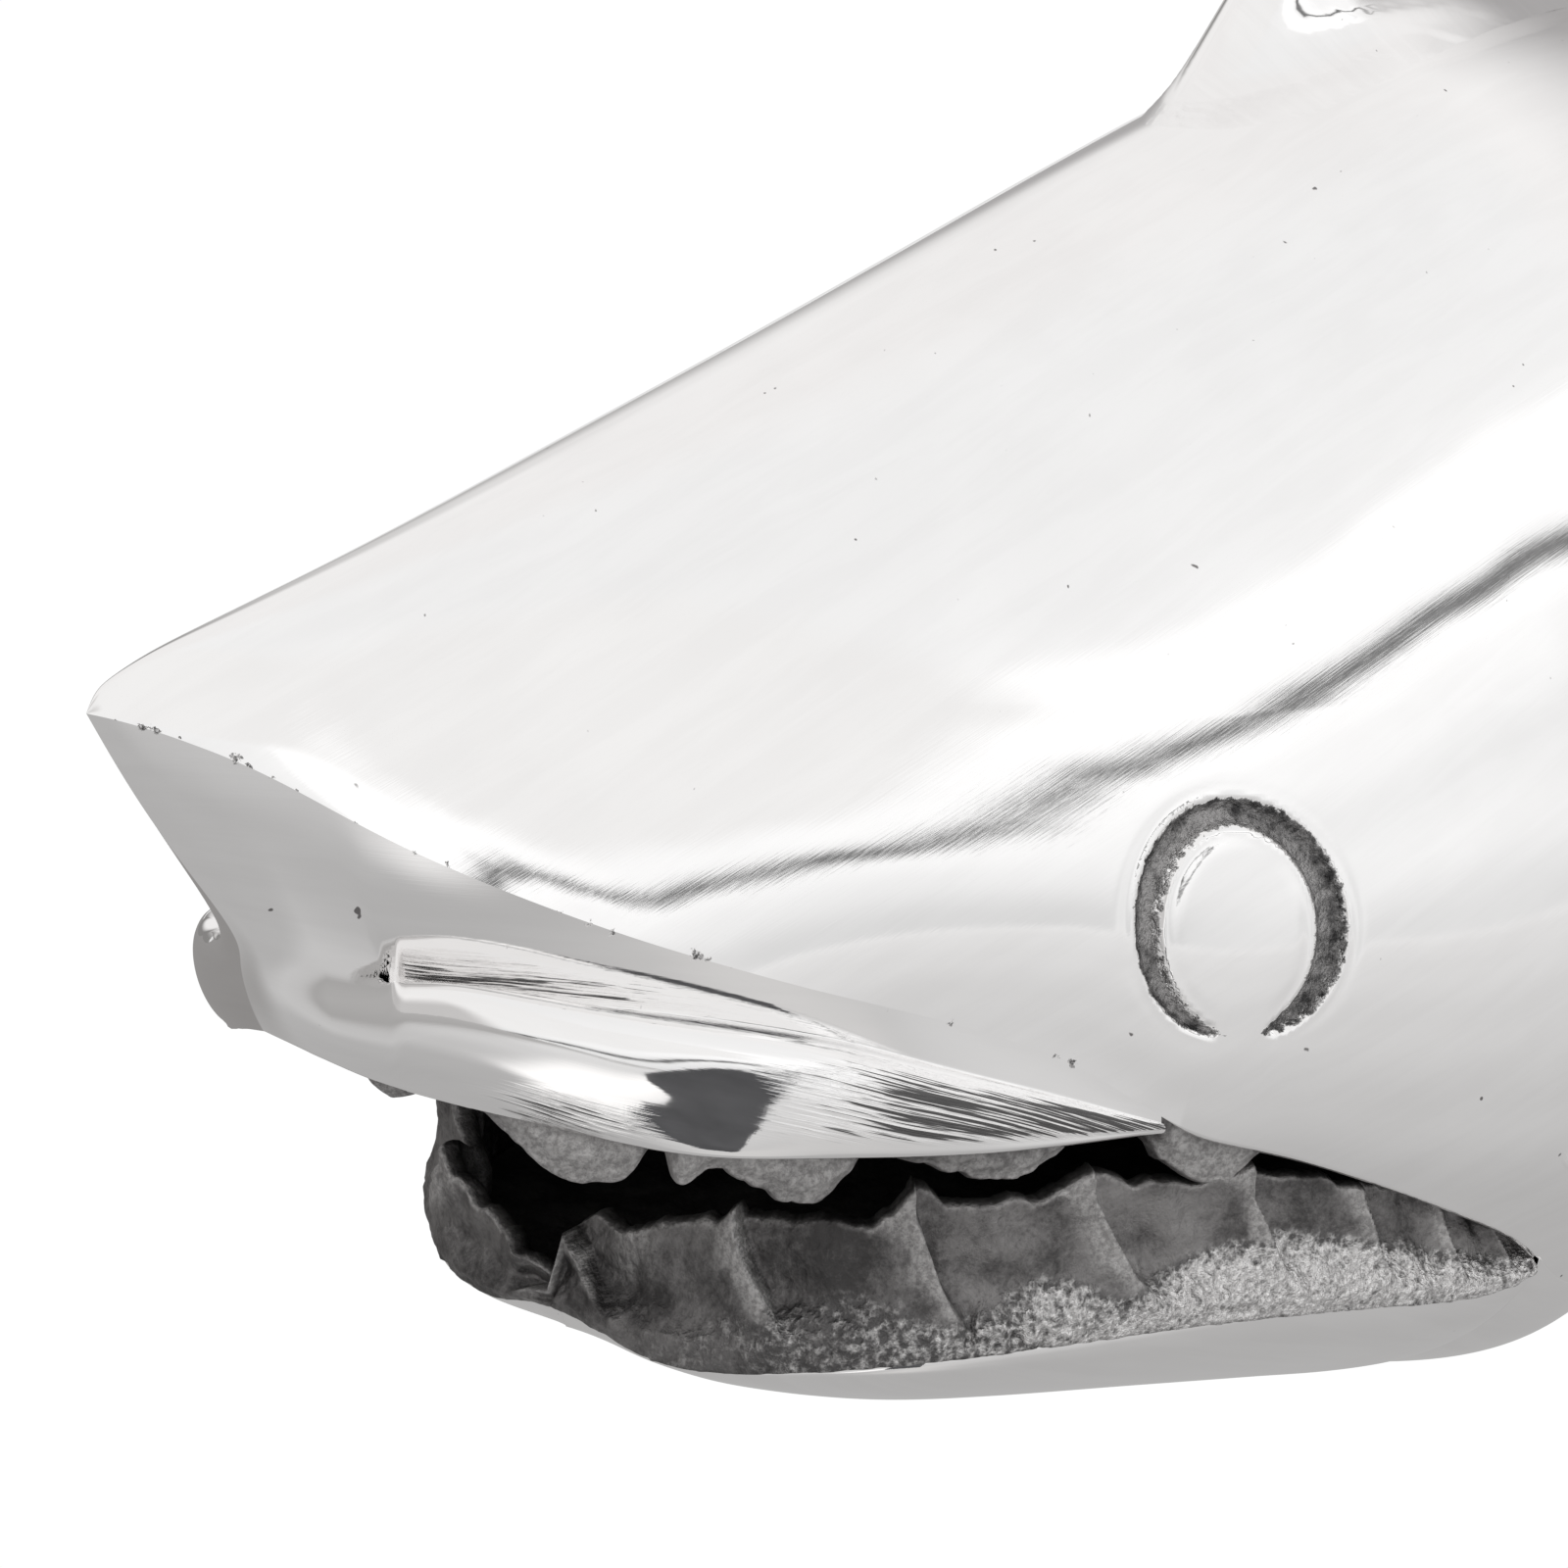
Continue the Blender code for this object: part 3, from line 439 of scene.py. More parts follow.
def upper_gum():
    u = np.concatenate([-np.linspace(0, 0.975, 360)[:0:-1], np.linspace(0, 0.975, 560)])
    side = np.where(u >= 0, 1.0, -1.0)
    m = np.abs(u)
    lip, out = lip_path(m), level_out(lip_path, m)
    drop = np.where(side > 0, LOBES_LEFT(m), LOBES_RIGHT(m))
    drop = np.maximum(drop + 0.5 * grain(vec(u * 300, 0 * u, 0 * u + 9), 4.0, 41, 2) * step(drop, 1, 4), 0.3)
    v = np.linspace(0, 1, 22)
    face = v[None, :] * np.ones_like(m)[:, None]
    inset = 1.6 + 1.6 * step(face, 0.55, 1.0) + 2.5 * ((side < 0) * (1 - step(m, 0.36, 0.44)))[:, None]
    outer = lip[:, None] - out[:, None] * inset[..., None]
    outer[..., 2] += 2.2 - (2.2 + drop)[:, None] * face
    q = outer * np.where(side > 0, 1, -1)[:, None, None] ** np.array([0, 1, 0])
    outer = outer + out[:, None] * (0.5 * grain(q, 5.0, 51, 2) * step(face, 0.2, 0.6) + 0.22 * grain(q, 1.8, 55, 2))[..., None]
    w = np.linspace(0, 1, 12)[1:]
    thick = 4.5
    inner = np.stack([outer[:, -1] - out * thick * min(k * 2.5, 1 + 0.4 * k) + vec(0, 0, -0.6 * np.sin(np.pi * min(k * 2.5, 1)) + (drop + 2) * max(k - 0.3, 0) / 0.7) for k in w], 1)
    inner = inner + out[:, None] * (0.4 * grain(inner, 4.0, 61, 2))[..., None]
    rows = np.concatenate([outer, inner], 1)
    rows[..., 1] = np.maximum(rows[..., 1], 0.0) * side[:, None]
    # The lower part of each lobe. Below, it only lightens the colour through the ridge attribute and is not used as
    # worn metal.
    worn = np.concatenate([step(face * drop[:, None], 0.5, 5.0) * 0.75, 0 * inner[..., 0]], 1)
    return rows, u, worn


# ---------------------------------------------------------------- fins
def sweep(rows, n):
    curve = lane(*rows)
    return np.array([curve(s) for s in np.linspace(rows[0][0], rows[-1][0], n)])


def blade(table, n, chord=46, flare=(0.0, 0.0), base=0.0):
    """Grid of a fin: rows from its root to its tip, columns round its section. flare fillets the root: how much
    forward and how much thicker, over the distance base."""
    x = (1 - np.cos(np.linspace(0, np.pi, chord))) / 2
    half = 5 * (0.2969 * np.sqrt(x) - 0.126 * x - 0.3516 * x**2 + 0.2843 * x**3 - 0.1015 * x**4)
    r = sweep(table, n)
    lead, trail, thick = r[:, :3].copy(), r[:, 3:6].copy(), r[:, 6].copy()
    mids = (lead + trail) / 2
    span = np.gradient(mids, axis=0)
    length = np.concatenate([[0], np.cumsum(np.linalg.norm(np.diff(mids, axis=0), axis=1))])
    if base:
        near = np.exp(-np.maximum(length - flare[2], 0) / base)
        lead[:, 0] -= flare[0] * near
        thick = thick + flare[1] * near
    normal = np.cross(trail - lead, span)
    normal /= np.linalg.norm(normal, axis=1)[:, None]
    line = lead[:, None] + (trail - lead)[:, None] * x[None, :, None]
    # The tip closes in a round.
    close = np.sqrt(np.clip((length[-1] - length) / (0.5 * r[-1, 6] + 1e-6), 0, 1))
    depth = (half[None, :] * thick[:, None] + 0.5 * x[None, :] * (1 - x[None, :] ** 8)) * close[:, None]
    over, under = line + normal[:, None] * depth[..., None], line - normal[:, None] * depth[..., None]
    return np.concatenate([over, under[:, -2::-1]], 1)


def rooted(grid, forward, wide, fall):
    """A fin of the back with its root spread a little over the skin, and normals that run into those of the skin."""
    body = back_grid(A, T)
    p = grid.reshape(-1, 3)
    row = np.clip(np.searchsorted(A, p[:, 0]), 0, len(A) - 1)
    under = np.array([np.interp(abs(w), body[r, :, 1], body[r, :, 2]) for r, w in zip(row, p[:, 1])])
    clear = (p[:, 2] - under).reshape(grid.shape[:2])
    near = np.where(clear < 0, 1 - np.maximum(clear, -4.0) / fall, np.exp(-np.maximum(clear, 0) / fall))
    chord = grid.shape[1] // 2 + 1
    x = (1 - np.cos(np.linspace(0, np.pi, chord))) / 2
    x = np.concatenate([x, x[-2::-1]])[None, :]
    side = np.concatenate([np.ones(chord), -np.ones(chord - 1)])[None, :] * np.sign(grid[:, 10, 1].sum())
    spread = grid.copy()
    spread[..., 0] += near * (-forward * (1 - x) ** 3 + 0.3 * forward * x**6)
    spread[..., 1] += near * side * wide * np.minimum(1, x / 0.15) ** 0.5 * np.minimum(1, (1 - x) / 0.08) ** 0.5
    floor = np.array([np.interp(abs(w), body[r, :, 1], body[r, :, 2]) for r, w in zip(row, spread.reshape(-1, 3)[:, 1])])
    hang = np.maximum(spread[0, :, 2] - floor.reshape(grid.shape[:2])[0] + 3.0, 0)
    spread[..., 2] -= hang[None, :] * np.exp(-(grid[..., 2] - grid[:1, :, 2]) / fall)
    n = grid_normals(np.concatenate([spread[:, -2:-1], spread, spread[:, 1:2]], 1))[:, 1:-1]
    n = n * np.sign(np.sum(n[..., 1] * spread[..., 1]))
    skin = np.array([[np.interp(abs(w), body[r, :, 1], plain_n[r, :, k]) for k in range(3)] for r, w in zip(row, spread.reshape(-1, 3)[:, 1])])
    skin[:, 1] *= np.sign(spread.reshape(-1, 3)[:, 1])
    skin = skin.reshape(grid.shape)
    share = np.exp(-np.maximum(clear - 1.0, 0) / (0.9 * fall)) * step(np.sum(n * skin, -1), 0.15, 0.65) * (1 - step(x, 0.25, 0.6))
    return spread, unit(n * (1 - share[..., None]) + skin * share[..., None])


FIN_TABLES = {
    "dorsal_fin": ([
        (-0.12, 238, 0, 62, 430, 0, 66, 29), (0, 250, 0, 78, 428, 0, 88, 27), (0.2, 274, 0, 117, 424, 0, 121, 22), (0.5, 315, 0, 168, 424, 0, 165, 15),
        (0.8, 362, 0, 218, 434, 0, 210, 9), (0.93, 389, 0, 242, 445, 0, 234, 6), (0.98, 409, 0, 252, 451, 0, 246, 4),
        (1, 430, 0, 257, 450, 0, 254, 2.5)], 260, (0, 0, 0), 0),
    "rear_dorsal_fin": ([
        (-0.2, 680, 0, 74, 742, 0, 58, 8), (0, 684, 0, 86, 742, 0, 70, 8), (0.4, 697, 0, 107, 742, 0, 94, 6), (0.8, 716, 0, 123, 752, 0, 113, 4.5),
        (0.95, 730, 0, 130, 759, 0, 122, 3.5), (1, 744, 0, 133, 759, 0, 129, 2.5)], 60, (0, 0, 0), 0),
    "anal_fin": ([
        (-0.2, 700, 0, -50, 762, 0, -28, 8), (0, 704, 0, -62, 764, 0, -40, 8), (0.4, 718, 0, -84, 768, 0, -66, 6), (0.8, 740, 0, -99, 780, 0, -86, 4.5),
        (0.95, 755, 0, -105, 787, 0, -95, 3.5), (1, 771, 0, -107, 788, 0, -102, 2.5)], 50, (6, 6, 12), 5),
    "tail_fin": ([
        (0, 960, 0, -105, 992, 0, -114, 7), (0.12, 930, 0, -80, 966, 0, -92, 10), (0.3, 884, 0, -36, 928, 0, -46, 14),
        (0.45, 852, 0, 6, 916, 0, 4, 16), (0.52, 850, 0, 24, 916, 0, 26, 16), (0.65, 876, 0, 62, 930, 0, 72, 13),
        (0.85, 936, 0, 134, 968, 0, 138, 8), (1, 988, 0, 178, 1006, 0, 178, 4)], 110, (0, 0, 0), 0),
    "pectoral_fin_left": ([
        (-0.1, 300, 52, -58, 430, 44, -62, 27), (0, 306, 70, -72, 428, 62, -78, 25), (0.18, 317, 103, -96, 428, 97, -101, 19), (0.5, 342, 163, -134, 420, 157, -142, 13),
        (0.8, 368, 212, -162, 416, 206, -169, 9.5), (0.95, 384, 236, -173, 418, 231, -178, 7),
        (1, 397, 242, -176, 416, 239, -179, 5.5)], 100, (14, 10, 44), 10),
    "pelvic_fin_left": ([
        (-0.2, 578, 30, -64, 650, 26, -58, 10), (0, 586, 42, -76, 652, 38, -70, 10), (0.4, 604, 62, -94, 658, 56, -88, 7), (0.8, 628, 80, -108, 668, 74, -104, 5),
        (0.95, 643, 87, -113, 674, 82, -109, 4), (1, 657, 89, -114, 675, 86, -111, 3)], 50, (6, 5, 16), 5),
}  # fmt: skip


def run_length(p, axis):
    d = np.linalg.norm(np.diff(p, axis=axis), axis=-1)
    zero = np.zeros_like(np.take(d, [0], axis=axis))
    return np.concatenate([zero, np.cumsum(d, axis=axis)], axis=axis)


def unit(n):
    return n / np.maximum(np.linalg.norm(n, axis=-1, keepdims=True), 1e-12)


MIRROR = np.array([1, -1, 1])

# Normals of the back, evened out lengthwise, so that what it mirrors runs in clean lines.
back_n = grid_normals(HALF_BACK)
back_n *= np.sign(np.sum(back_n[..., 1]))
plain_n = grid_normals(back_grid(A, T))
plain_n *= np.sign(np.sum(plain_n[..., 1]))
wide = np.minimum(17.0, 0.22 * np.minimum(A, BODY_END - A) + 0.3)
kernel = np.exp(-0.5 * ((A[:, None] - A[None]) / wide[:, None]) ** 2) * np.gradient(A)[None]
kernel /= kernel.sum(1)[:, None]
back_n = unit(back_n + np.einsum("ij,jkl->ikl", kernel, plain_n) - plain_n)
# A slight hollow that the wheel left over the crease behind the nose.
hollow = np.exp(-(((A - 70) / 20) ** 2))[:, None] * step(T, 0.6, 0.85)[None, :]
back_n = unit(back_n + vec(0, 0, -0.021 * hollow))
back_n[:, 0] = unit(back_n[:, 0] * vec(1, 0, 1))
# Shared normals along the crease: it is sharp at the nose and gone where the lip begins.
snout_n = grid_normals(SNOUT)
snout_n *= np.sign(np.sum(snout_n[:, : WALLS + BANDS, 1]))
# The stem is dressed smooth into the band in front: the fold is only felt from the start of the groove on the left, and
# from beside the stem on the right.
whole = slice(0, WALLS + BANDS + 1)
even_n = grid_normals(evened(SNOUT[:, whole], 13.0))
even_n *= np.sign(np.sum(even_n[..., 1]))
column = np.arange(WALLS + BANDS + 1.0)
kernel = np.exp(-0.5 * ((column[:, None] - column[None]) / 6.5) ** 2)
calm = np.einsum("ij,kjl->kil", kernel / kernel.sum(1)[:, None], even_n)
inside = (step(column, 4, 14) * (1 - step(column, 64, 76)))[None, :, None]
start = np.searchsorted(S, 0.09)
calm[start:] = calm[start]
calm_n = unit(even_n * (1 - inside) + calm * inside)
left_n = snout_n.copy()
share = (1 - step(S, 0.136, 0.148))[:, None, None]
left_n[:, whole] = unit(snout_n[:, whole] * (1 - share) + calm_n * share)
share = (1 - step(S, 0.004, 0.05))[:, None, None]
snout_n[:, whole] = unit(snout_n[:, whole] * (1 - share) + even_n * share)
crease_a = CREASE_AT(S)
gone = step(crease_a, 118, 160)
wall_n = snout_n[:, 2]
skin_n = np.stack([np.interp(crease_a, A, back_n[:, -3, k]) for k in range(3)], -1)
shared = unit(wall_n + skin_n)
width = run_length(SNOUT, 1)
fade = gone[:, None] * np.exp(-((width / 5.0) ** 2))
snout_n = unit(snout_n * (1 - fade[..., None]) + shared[:, None] * fade[..., None])
left_n = unit(left_n * (1 - fade[..., None]) + shared[:, None] * fade[..., None])
depth = run_length(HALF_BACK[:, ::-1], 1)[:, ::-1]
gone_a = step(A, 118, 160) * (A <= 186)
shared_a = np.stack([np.interp(A, crease_a, shared[:, k]) for k in range(3)], -1)
fade = gone_a[:, None] * np.exp(-((depth / 6.0) ** 2))
back_n = unit(back_n * (1 - fade[..., None]) + shared_a[:, None] * fade[..., None])
# The band is flatter half way along, where it has been dressed most.
flat = np.exp(-(((S - 0.405) / 0.085) ** 2))[:, None] * step(np.arange(SNOUT.shape[1]), WALLS + 8, WALLS + 18)[None] * (1 - step(np.arange(SNOUT.shape[1]), WALLS + BANDS - 2, WALLS + BANDS + 3))[None]
left_n = unit(left_n * (1 - 0.62 * flat[..., None]) + left_n[:, [WALLS + 27]] * 0.62 * flat[..., None])


# ==== MAKING
def node(tree, kind, x=0, y=0, **values):
    n = tree.nodes.new(kind)
    n.location = (x, y)
    for key, value in values.items():
        setattr(n, key, value)
    return n


class Net:
    """Short calls to build a shader tree."""

    def __init__(self, name):
        self.material = bpy.data.materials.new(name)
        self.material.use_nodes = True
        self.tree = self.material.node_tree
        self.tree.nodes.clear()
        self.out = self.tree.nodes.new("ShaderNodeOutputMaterial")
        self.shader = self.tree.nodes.new("ShaderNodeBsdfPrincipled")
        self.tree.links.new(self.shader.outputs[0], self.out.inputs["Surface"])

    def put(self, socket, value):
        if isinstance(value, bpy.types.NodeSocket):
            self.tree.links.new(value, socket)
        elif value is not None:
            socket.default_value = value

    def set(self, name, value):
        self.put(self.shader.inputs[name], value)

    def field(self, name, output="Fac"):
        return node(self.tree, "ShaderNodeAttribute", attribute_type="GEOMETRY", attribute_name=name).outputs[output]

    def place(self):
        return node(self.tree, "ShaderNodeTexCoord").outputs["Object"]

    def math(self, how, a, b=None, c=None):
        n = node(self.tree, "ShaderNodeMath", operation=how)
        for socket, value in zip(n.inputs, (a, b, c)):
            self.put(socket, value)
        return n.outputs[0]

    def scaled(self, vector, by):
        n = node(self.tree, "ShaderNodeVectorMath", operation="MULTIPLY")
        self.put(n.inputs[0], vector)
        n.inputs[1].default_value = by
        return n.outputs[0]

    def noise(self, vector, scale, detail=2.0, rough=0.5, twist=0.0):
        n = node(self.tree, "ShaderNodeTexNoise")
        self.put(n.inputs["Vector"], vector)
        for key, value in (("Scale", scale), ("Detail", detail), ("Roughness", rough), ("Distortion", twist)):
            n.inputs[key].default_value = value
        return n.outputs["Fac"]

    def ramp(self, value, low, high, a=0.0, b=1.0):
        n = node(self.tree, "ShaderNodeMapRange", interpolation_type="SMOOTHSTEP", clamp=True)
        self.put(n.inputs["Value"], value)
        for key, v in (("From Min", low), ("From Max", high), ("To Min", a), ("To Max", b)):
            self.put(n.inputs[key], v)
        return n.outputs["Result"]

    def mix(self, share, a, b):
        n = node(self.tree, "ShaderNodeMix", data_type="RGBA")
        self.put(n.inputs["Factor"], share)
        for socket, value in zip([s for s in n.inputs if s.type == "RGBA"], (a, b)):
            self.put(socket, (*value, 1) if isinstance(value, tuple) else value)
        return [s for s in n.outputs if s.type == "RGBA"][0]

    def bump(self, height, distance, normal=None, strength=1.0):
        n = node(self.tree, "ShaderNodeBump")
        n.inputs["Strength"].default_value = strength
        n.inputs["Distance"].default_value = distance
        self.put(n.inputs["Height"], height)
        if normal is not None:
            self.put(n.inputs["Normal"], normal)
        return n.outputs[0]


def polished_metal(name, flaws=True):
    """Hand polished cast aluminium: nearly a mirror, with soft smears along the polishing, hair scratches, pores, and
    the rough marks that the wheel left where the attributes of the mesh put them. The dark drag lines along the snout's
    groove and band, and the shading across the eye's groove, are partly painted shade."""
    m = Net(name)
    place = m.place()
    flow = m.field("flow", "Vector")
    smear = m.noise(m.scaled(flow, (0.022, 0.16, 0)), 1.0, 4, 0.6, 0.4)
    cloud = m.noise(place, 22.0, 3, 0.55, 0.3)
    hair = m.noise(m.scaled(flow, (0.05, 2.6, 0)), 1.0, 3, 0.7)
    fine = m.noise(place, 900.0, 2, 0.6)
    tone = m.math("ADD", m.math("MULTIPLY", m.ramp(smear, 0.35, 0.65), 0.55), m.math("MULTIPLY", m.ramp(cloud, 0.35, 0.65), 0.45))
    bright = m.mix(tone, (0.905, 0.897, 0.894), (0.95, 0.944, 0.941))
    rough = m.math("ADD", m.math("MULTIPLY", m.ramp(smear, 0.3, 0.7), 0.018), m.math("MULTIPLY", m.ramp(hair, 0.45, 0.7), 0.014))
    rough = m.math("ADD", rough, 0.022)
    waves = m.noise(m.scaled(flow, (0.018, 0.05, 0)), 1.0, 1, 0.4)
    normal = m.bump(waves, 0.00004, None, 1.0)
    normal = m.bump(hair, 0.000003, normal, 1.0)
    pore = m.ramp(m.noise(place, 420.0, 1, 0.4), 0.80, 0.84)
    colour = m.mix(pore, bright, (0.22, 0.21, 0.21))
    if flaws:
        # The incised ring of the eye: half width less the distance, with a ragged edge.
        away, half = m.field("eye_away"), m.field("eye_half")
        ragged = m.math("MULTIPLY", m.math("SUBTRACT", m.noise(place, 620.0, 3, 0.65), 0.5), 2.6)
        cut = m.math("ADD", m.math("SUBTRACT", half, m.math("ABSOLUTE", away)), ragged)
        ring = m.ramp(cut, 0.0, 0.55)
        inside = m.math("ADD", m.math("MULTIPLY", m.noise(place, 330.0, 4, 0.7), 0.7), m.math("MULTIPLY", m.noise(place, 70.0, 2, 0.5), 0.3))
        # Painted shade across the groove: its colour is darker towards the outer side and lighter towards the inner
        # one.
        slope = m.math("DIVIDE", away, m.math("MAXIMUM", half, 0.6))
        inside = m.math("SUBTRACT", inside, m.math("MULTIPLY", slope, 0.10))
        dark = m.mix(m.ramp(inside, 0.34, 0.65), (0.055, 0.054, 0.055), (0.46, 0.452, 0.45))
        colour = m.mix(ring, colour, dark)
        rough = m.math("ADD", rough, m.math("MULTIPLY", ring, 0.36))
        normal = m.bump(m.math("MULTIPLY", ring, m.noise(place, 520.0, 4, 0.7)), 0.0011, normal)
        # Slag marks and chips, and dark drag lines, which are partly painted shade along the snout's groove and band.
        flaw = m.math("ADD", m.field("flaw"), m.math("MULTIPLY", m.math("SUBTRACT", m.noise(place, 1100.0, 3, 0.7), 0.5), 1.6))
        mark = m.ramp(flaw, 0.62, 0.95)
        colour = m.mix(mark, colour, m.mix(m.ramp(m.noise(place, 1500.0, 2, 0.6), 0.4, 0.6), (0.09, 0.088, 0.088), (0.62, 0.61, 0.61)))
        rough = m.math("ADD", rough, m.math("MULTIPLY", mark, 0.3))
        normal = m.bump(mark, 0.0005, normal)
        # Dark drag lines of the polishing. Where the attribute gathers them along the snout's groove and band, they are
        # also painted shade.
        drag_lines_and_shade = m.noise(m.scaled(flow, (0.035, 1.7, 0)), 1.0, 3, 0.6)
        line = m.math("ADD", drag_lines_and_shade, m.math("MULTIPLY", m.math("SUBTRACT", m.field("drag_lines_and_shade"), 0.75), 0.22))
        line = m.math("MULTIPLY", m.ramp(line, 0.53, 0.58), m.ramp(m.field("drag_lines_and_shade"), 0.08, 0.4))
        colour = m.mix(line, colour, (0.12, 0.118, 0.118))
        rough = m.math("ADD", rough, m.math("MULTIPLY", line, 0.22))
        normal = m.bump(m.math("MULTIPLY", m.field("drag_lines_and_shade"), drag_lines_and_shade), 0.0006, normal)
    m.set("Base Color", colour)
    m.shader.inputs["Metallic"].default_value = 1.0
    m.set("Roughness", rough)
    m.set("Normal", normal)
    return m.material


def cast_metal(name):
    """Raw cast aluminium: dark sandy grain, with painted highlight on its edges, worn bright and pitted where the wheel
    has caught it.
    """
    m = Net(name)
    place = m.place()
    lumps = m.noise(place, 95.0, 5, 0.62, 0.2)
    sand = m.noise(place, 800.0, 4, 0.75)
    blotch = m.noise(place, 34.0, 3, 0.55, 0.5)
    grey = m.math("ADD", m.math("MULTIPLY", lumps, 0.40), m.math("MULTIPLY", sand, 0.25))
    grey = m.math("ADD", grey, m.math("MULTIPLY", blotch, 0.35))
    base = m.mix(m.ramp(grey, 0.38, 0.62), (0.085, 0.082, 0.082), (0.30, 0.292, 0.29))
    # Painted highlight: lighter colour along the edges that the ridge attribute marks.
    edge = m.math("ADD", m.field("ridge"), m.math("MULTIPLY", m.math("SUBTRACT", lumps, 0.5), 1.0))
    base = m.mix(m.math("MULTIPLY", m.ramp(edge, 0.2, 1.0), 0.85), base, m.mix(m.ramp(sand, 0.38, 0.62), (0.36, 0.352, 0.35), (0.62, 0.61, 0.605)))
    worn = m.math("ADD", m.field("worn"), m.math("MULTIPLY", m.math("SUBTRACT", m.noise(place, 120.0, 4, 0.7), 0.5), 0.7))
    grit = m.noise(place, 620.0, 3, 0.62)
    share = m.ramp(worn, 0.2, 0.7)
    level = m.ramp(m.math("ADD", grit, m.math("MULTIPLY", m.math("SUBTRACT", worn, 0.75), 0.30)), 0.34, 0.66)
    shine = m.mix(level, (0.14, 0.137, 0.137), m.mix(m.ramp(sand, 0.38, 0.62), (0.58, 0.57, 0.567), (0.92, 0.91, 0.905)))
    m.set("Base Color", m.mix(share, base, shine))
    m.shader.inputs["Metallic"].default_value = 0.95
    m.set("Roughness", m.math("SUBTRACT", 0.50, m.math("MULTIPLY", m.math("MULTIPLY", share, level), 0.2)))
    relief = m.bump(lumps, 0.0013)
    relief = m.bump(sand, 0.00025, relief)
    relief = m.bump(m.math("MULTIPLY", share, grit), 0.0011, relief)
    m.set("Normal", relief)
    return m.material


def patina(name):
    """The unpolished lining of the mouth, nearly black."""
    m = Net(name)
    place = m.place()
    lumps = m.noise(place, 90.0, 4, 0.6)
    m.set("Base Color", m.mix(m.ramp(lumps, 0.35, 0.7), (0.035, 0.033, 0.033), (0.11, 0.106, 0.105)))
    m.shader.inputs["Metallic"].default_value = 0.4
    m.set("Roughness", m.ramp(lumps, 0.3, 0.7, 0.75, 0.6))
    m.set("Normal", m.bump(lumps, 0.0012))
    return m.material


POLISHED = polished_metal("polished_skin")
PLAIN = polished_metal("polished_fin", flaws=False)
CAST = cast_metal("raw_cast")
DARK = patina("mouth_lining")


def piece(name, points, material, nodes, normals=None, fields=None, loop=False, caps=False, out=None):
    """A mesh over a grid of points. loop joins the last column to the first one, caps closes both end rows."""
    rows, cols = points.shape[:2]
    ids = np.arange(rows * cols).reshape(rows, cols)
    i, j = ids, np.concatenate([ids, ids[:, :1]], 1) if loop else ids
    quads = np.stack([j[:-1, :-1], j[1:, :-1], j[1:, 1:], j[:-1, 1:]], -1).reshape(-1, 4)
    lay = grid_normals(points)
    n = lay if normals is None else normals
    if out is not None and np.sum(n * out) < 0:
        n = -n
    # The standing frame mirrors w, so faces laid along the outward normal here would face in there.
    if np.sum(lay * n) > 0:
        quads = quads[:, ::-1]
    # Points that coincide become one, so that a row may close in a point.
    flat = points.reshape(-1, 3)
    key = np.round(flat, 4)
    _, first, inverse = np.unique(key, axis=0, return_index=True, return_inverse=True)
    inverse = inverse.reshape(-1)
    faces = []
    for quad in inverse[quads]:
        face = [quad[k] for k in range(4) if quad[k] != quad[k - 1]]
        if len(set(face)) == len(face) >= 3:
            faces.append(face)
    if caps:
        for row in (0, -1):
            ring = [inverse[k] for k in ids[row]]
            ring = [v for k, v in enumerate(ring) if v != ring[k - 1]]
            if len(set(ring)) == len(ring) >= 3:
                faces.append(ring)
    mesh = bpy.data.meshes.new(name)
    mesh.from_pydata(stand(flat[first]).tolist(), [], faces)
    mesh.polygons.foreach_set("use_smooth", np.ones(len(mesh.polygons), bool))
    for key, values in (fields or {}).items():
        values = np.asarray(values, float).reshape(rows * cols, -1)[first]
        kind = "FLOAT_VECTOR" if values.shape[1] == 3 else "FLOAT"
        layer = mesh.attributes.new(key, kind, "POINT")
        layer.data.foreach_set("vector" if kind == "FLOAT_VECTOR" else "value", values.astype(np.float32).ravel())
    mesh.update()
    if normals is not None:
        mesh.normals_split_custom_set_from_vertices(turned(n.reshape(-1, 3)[first]).tolist())
    mesh.materials.append(material)
    o = bpy.data.objects.new(name, mesh)
    bpy.context.scene.collection.objects.link(o)
    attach(o, "root")
    if nodes:
        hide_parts(*nodes)
    return o


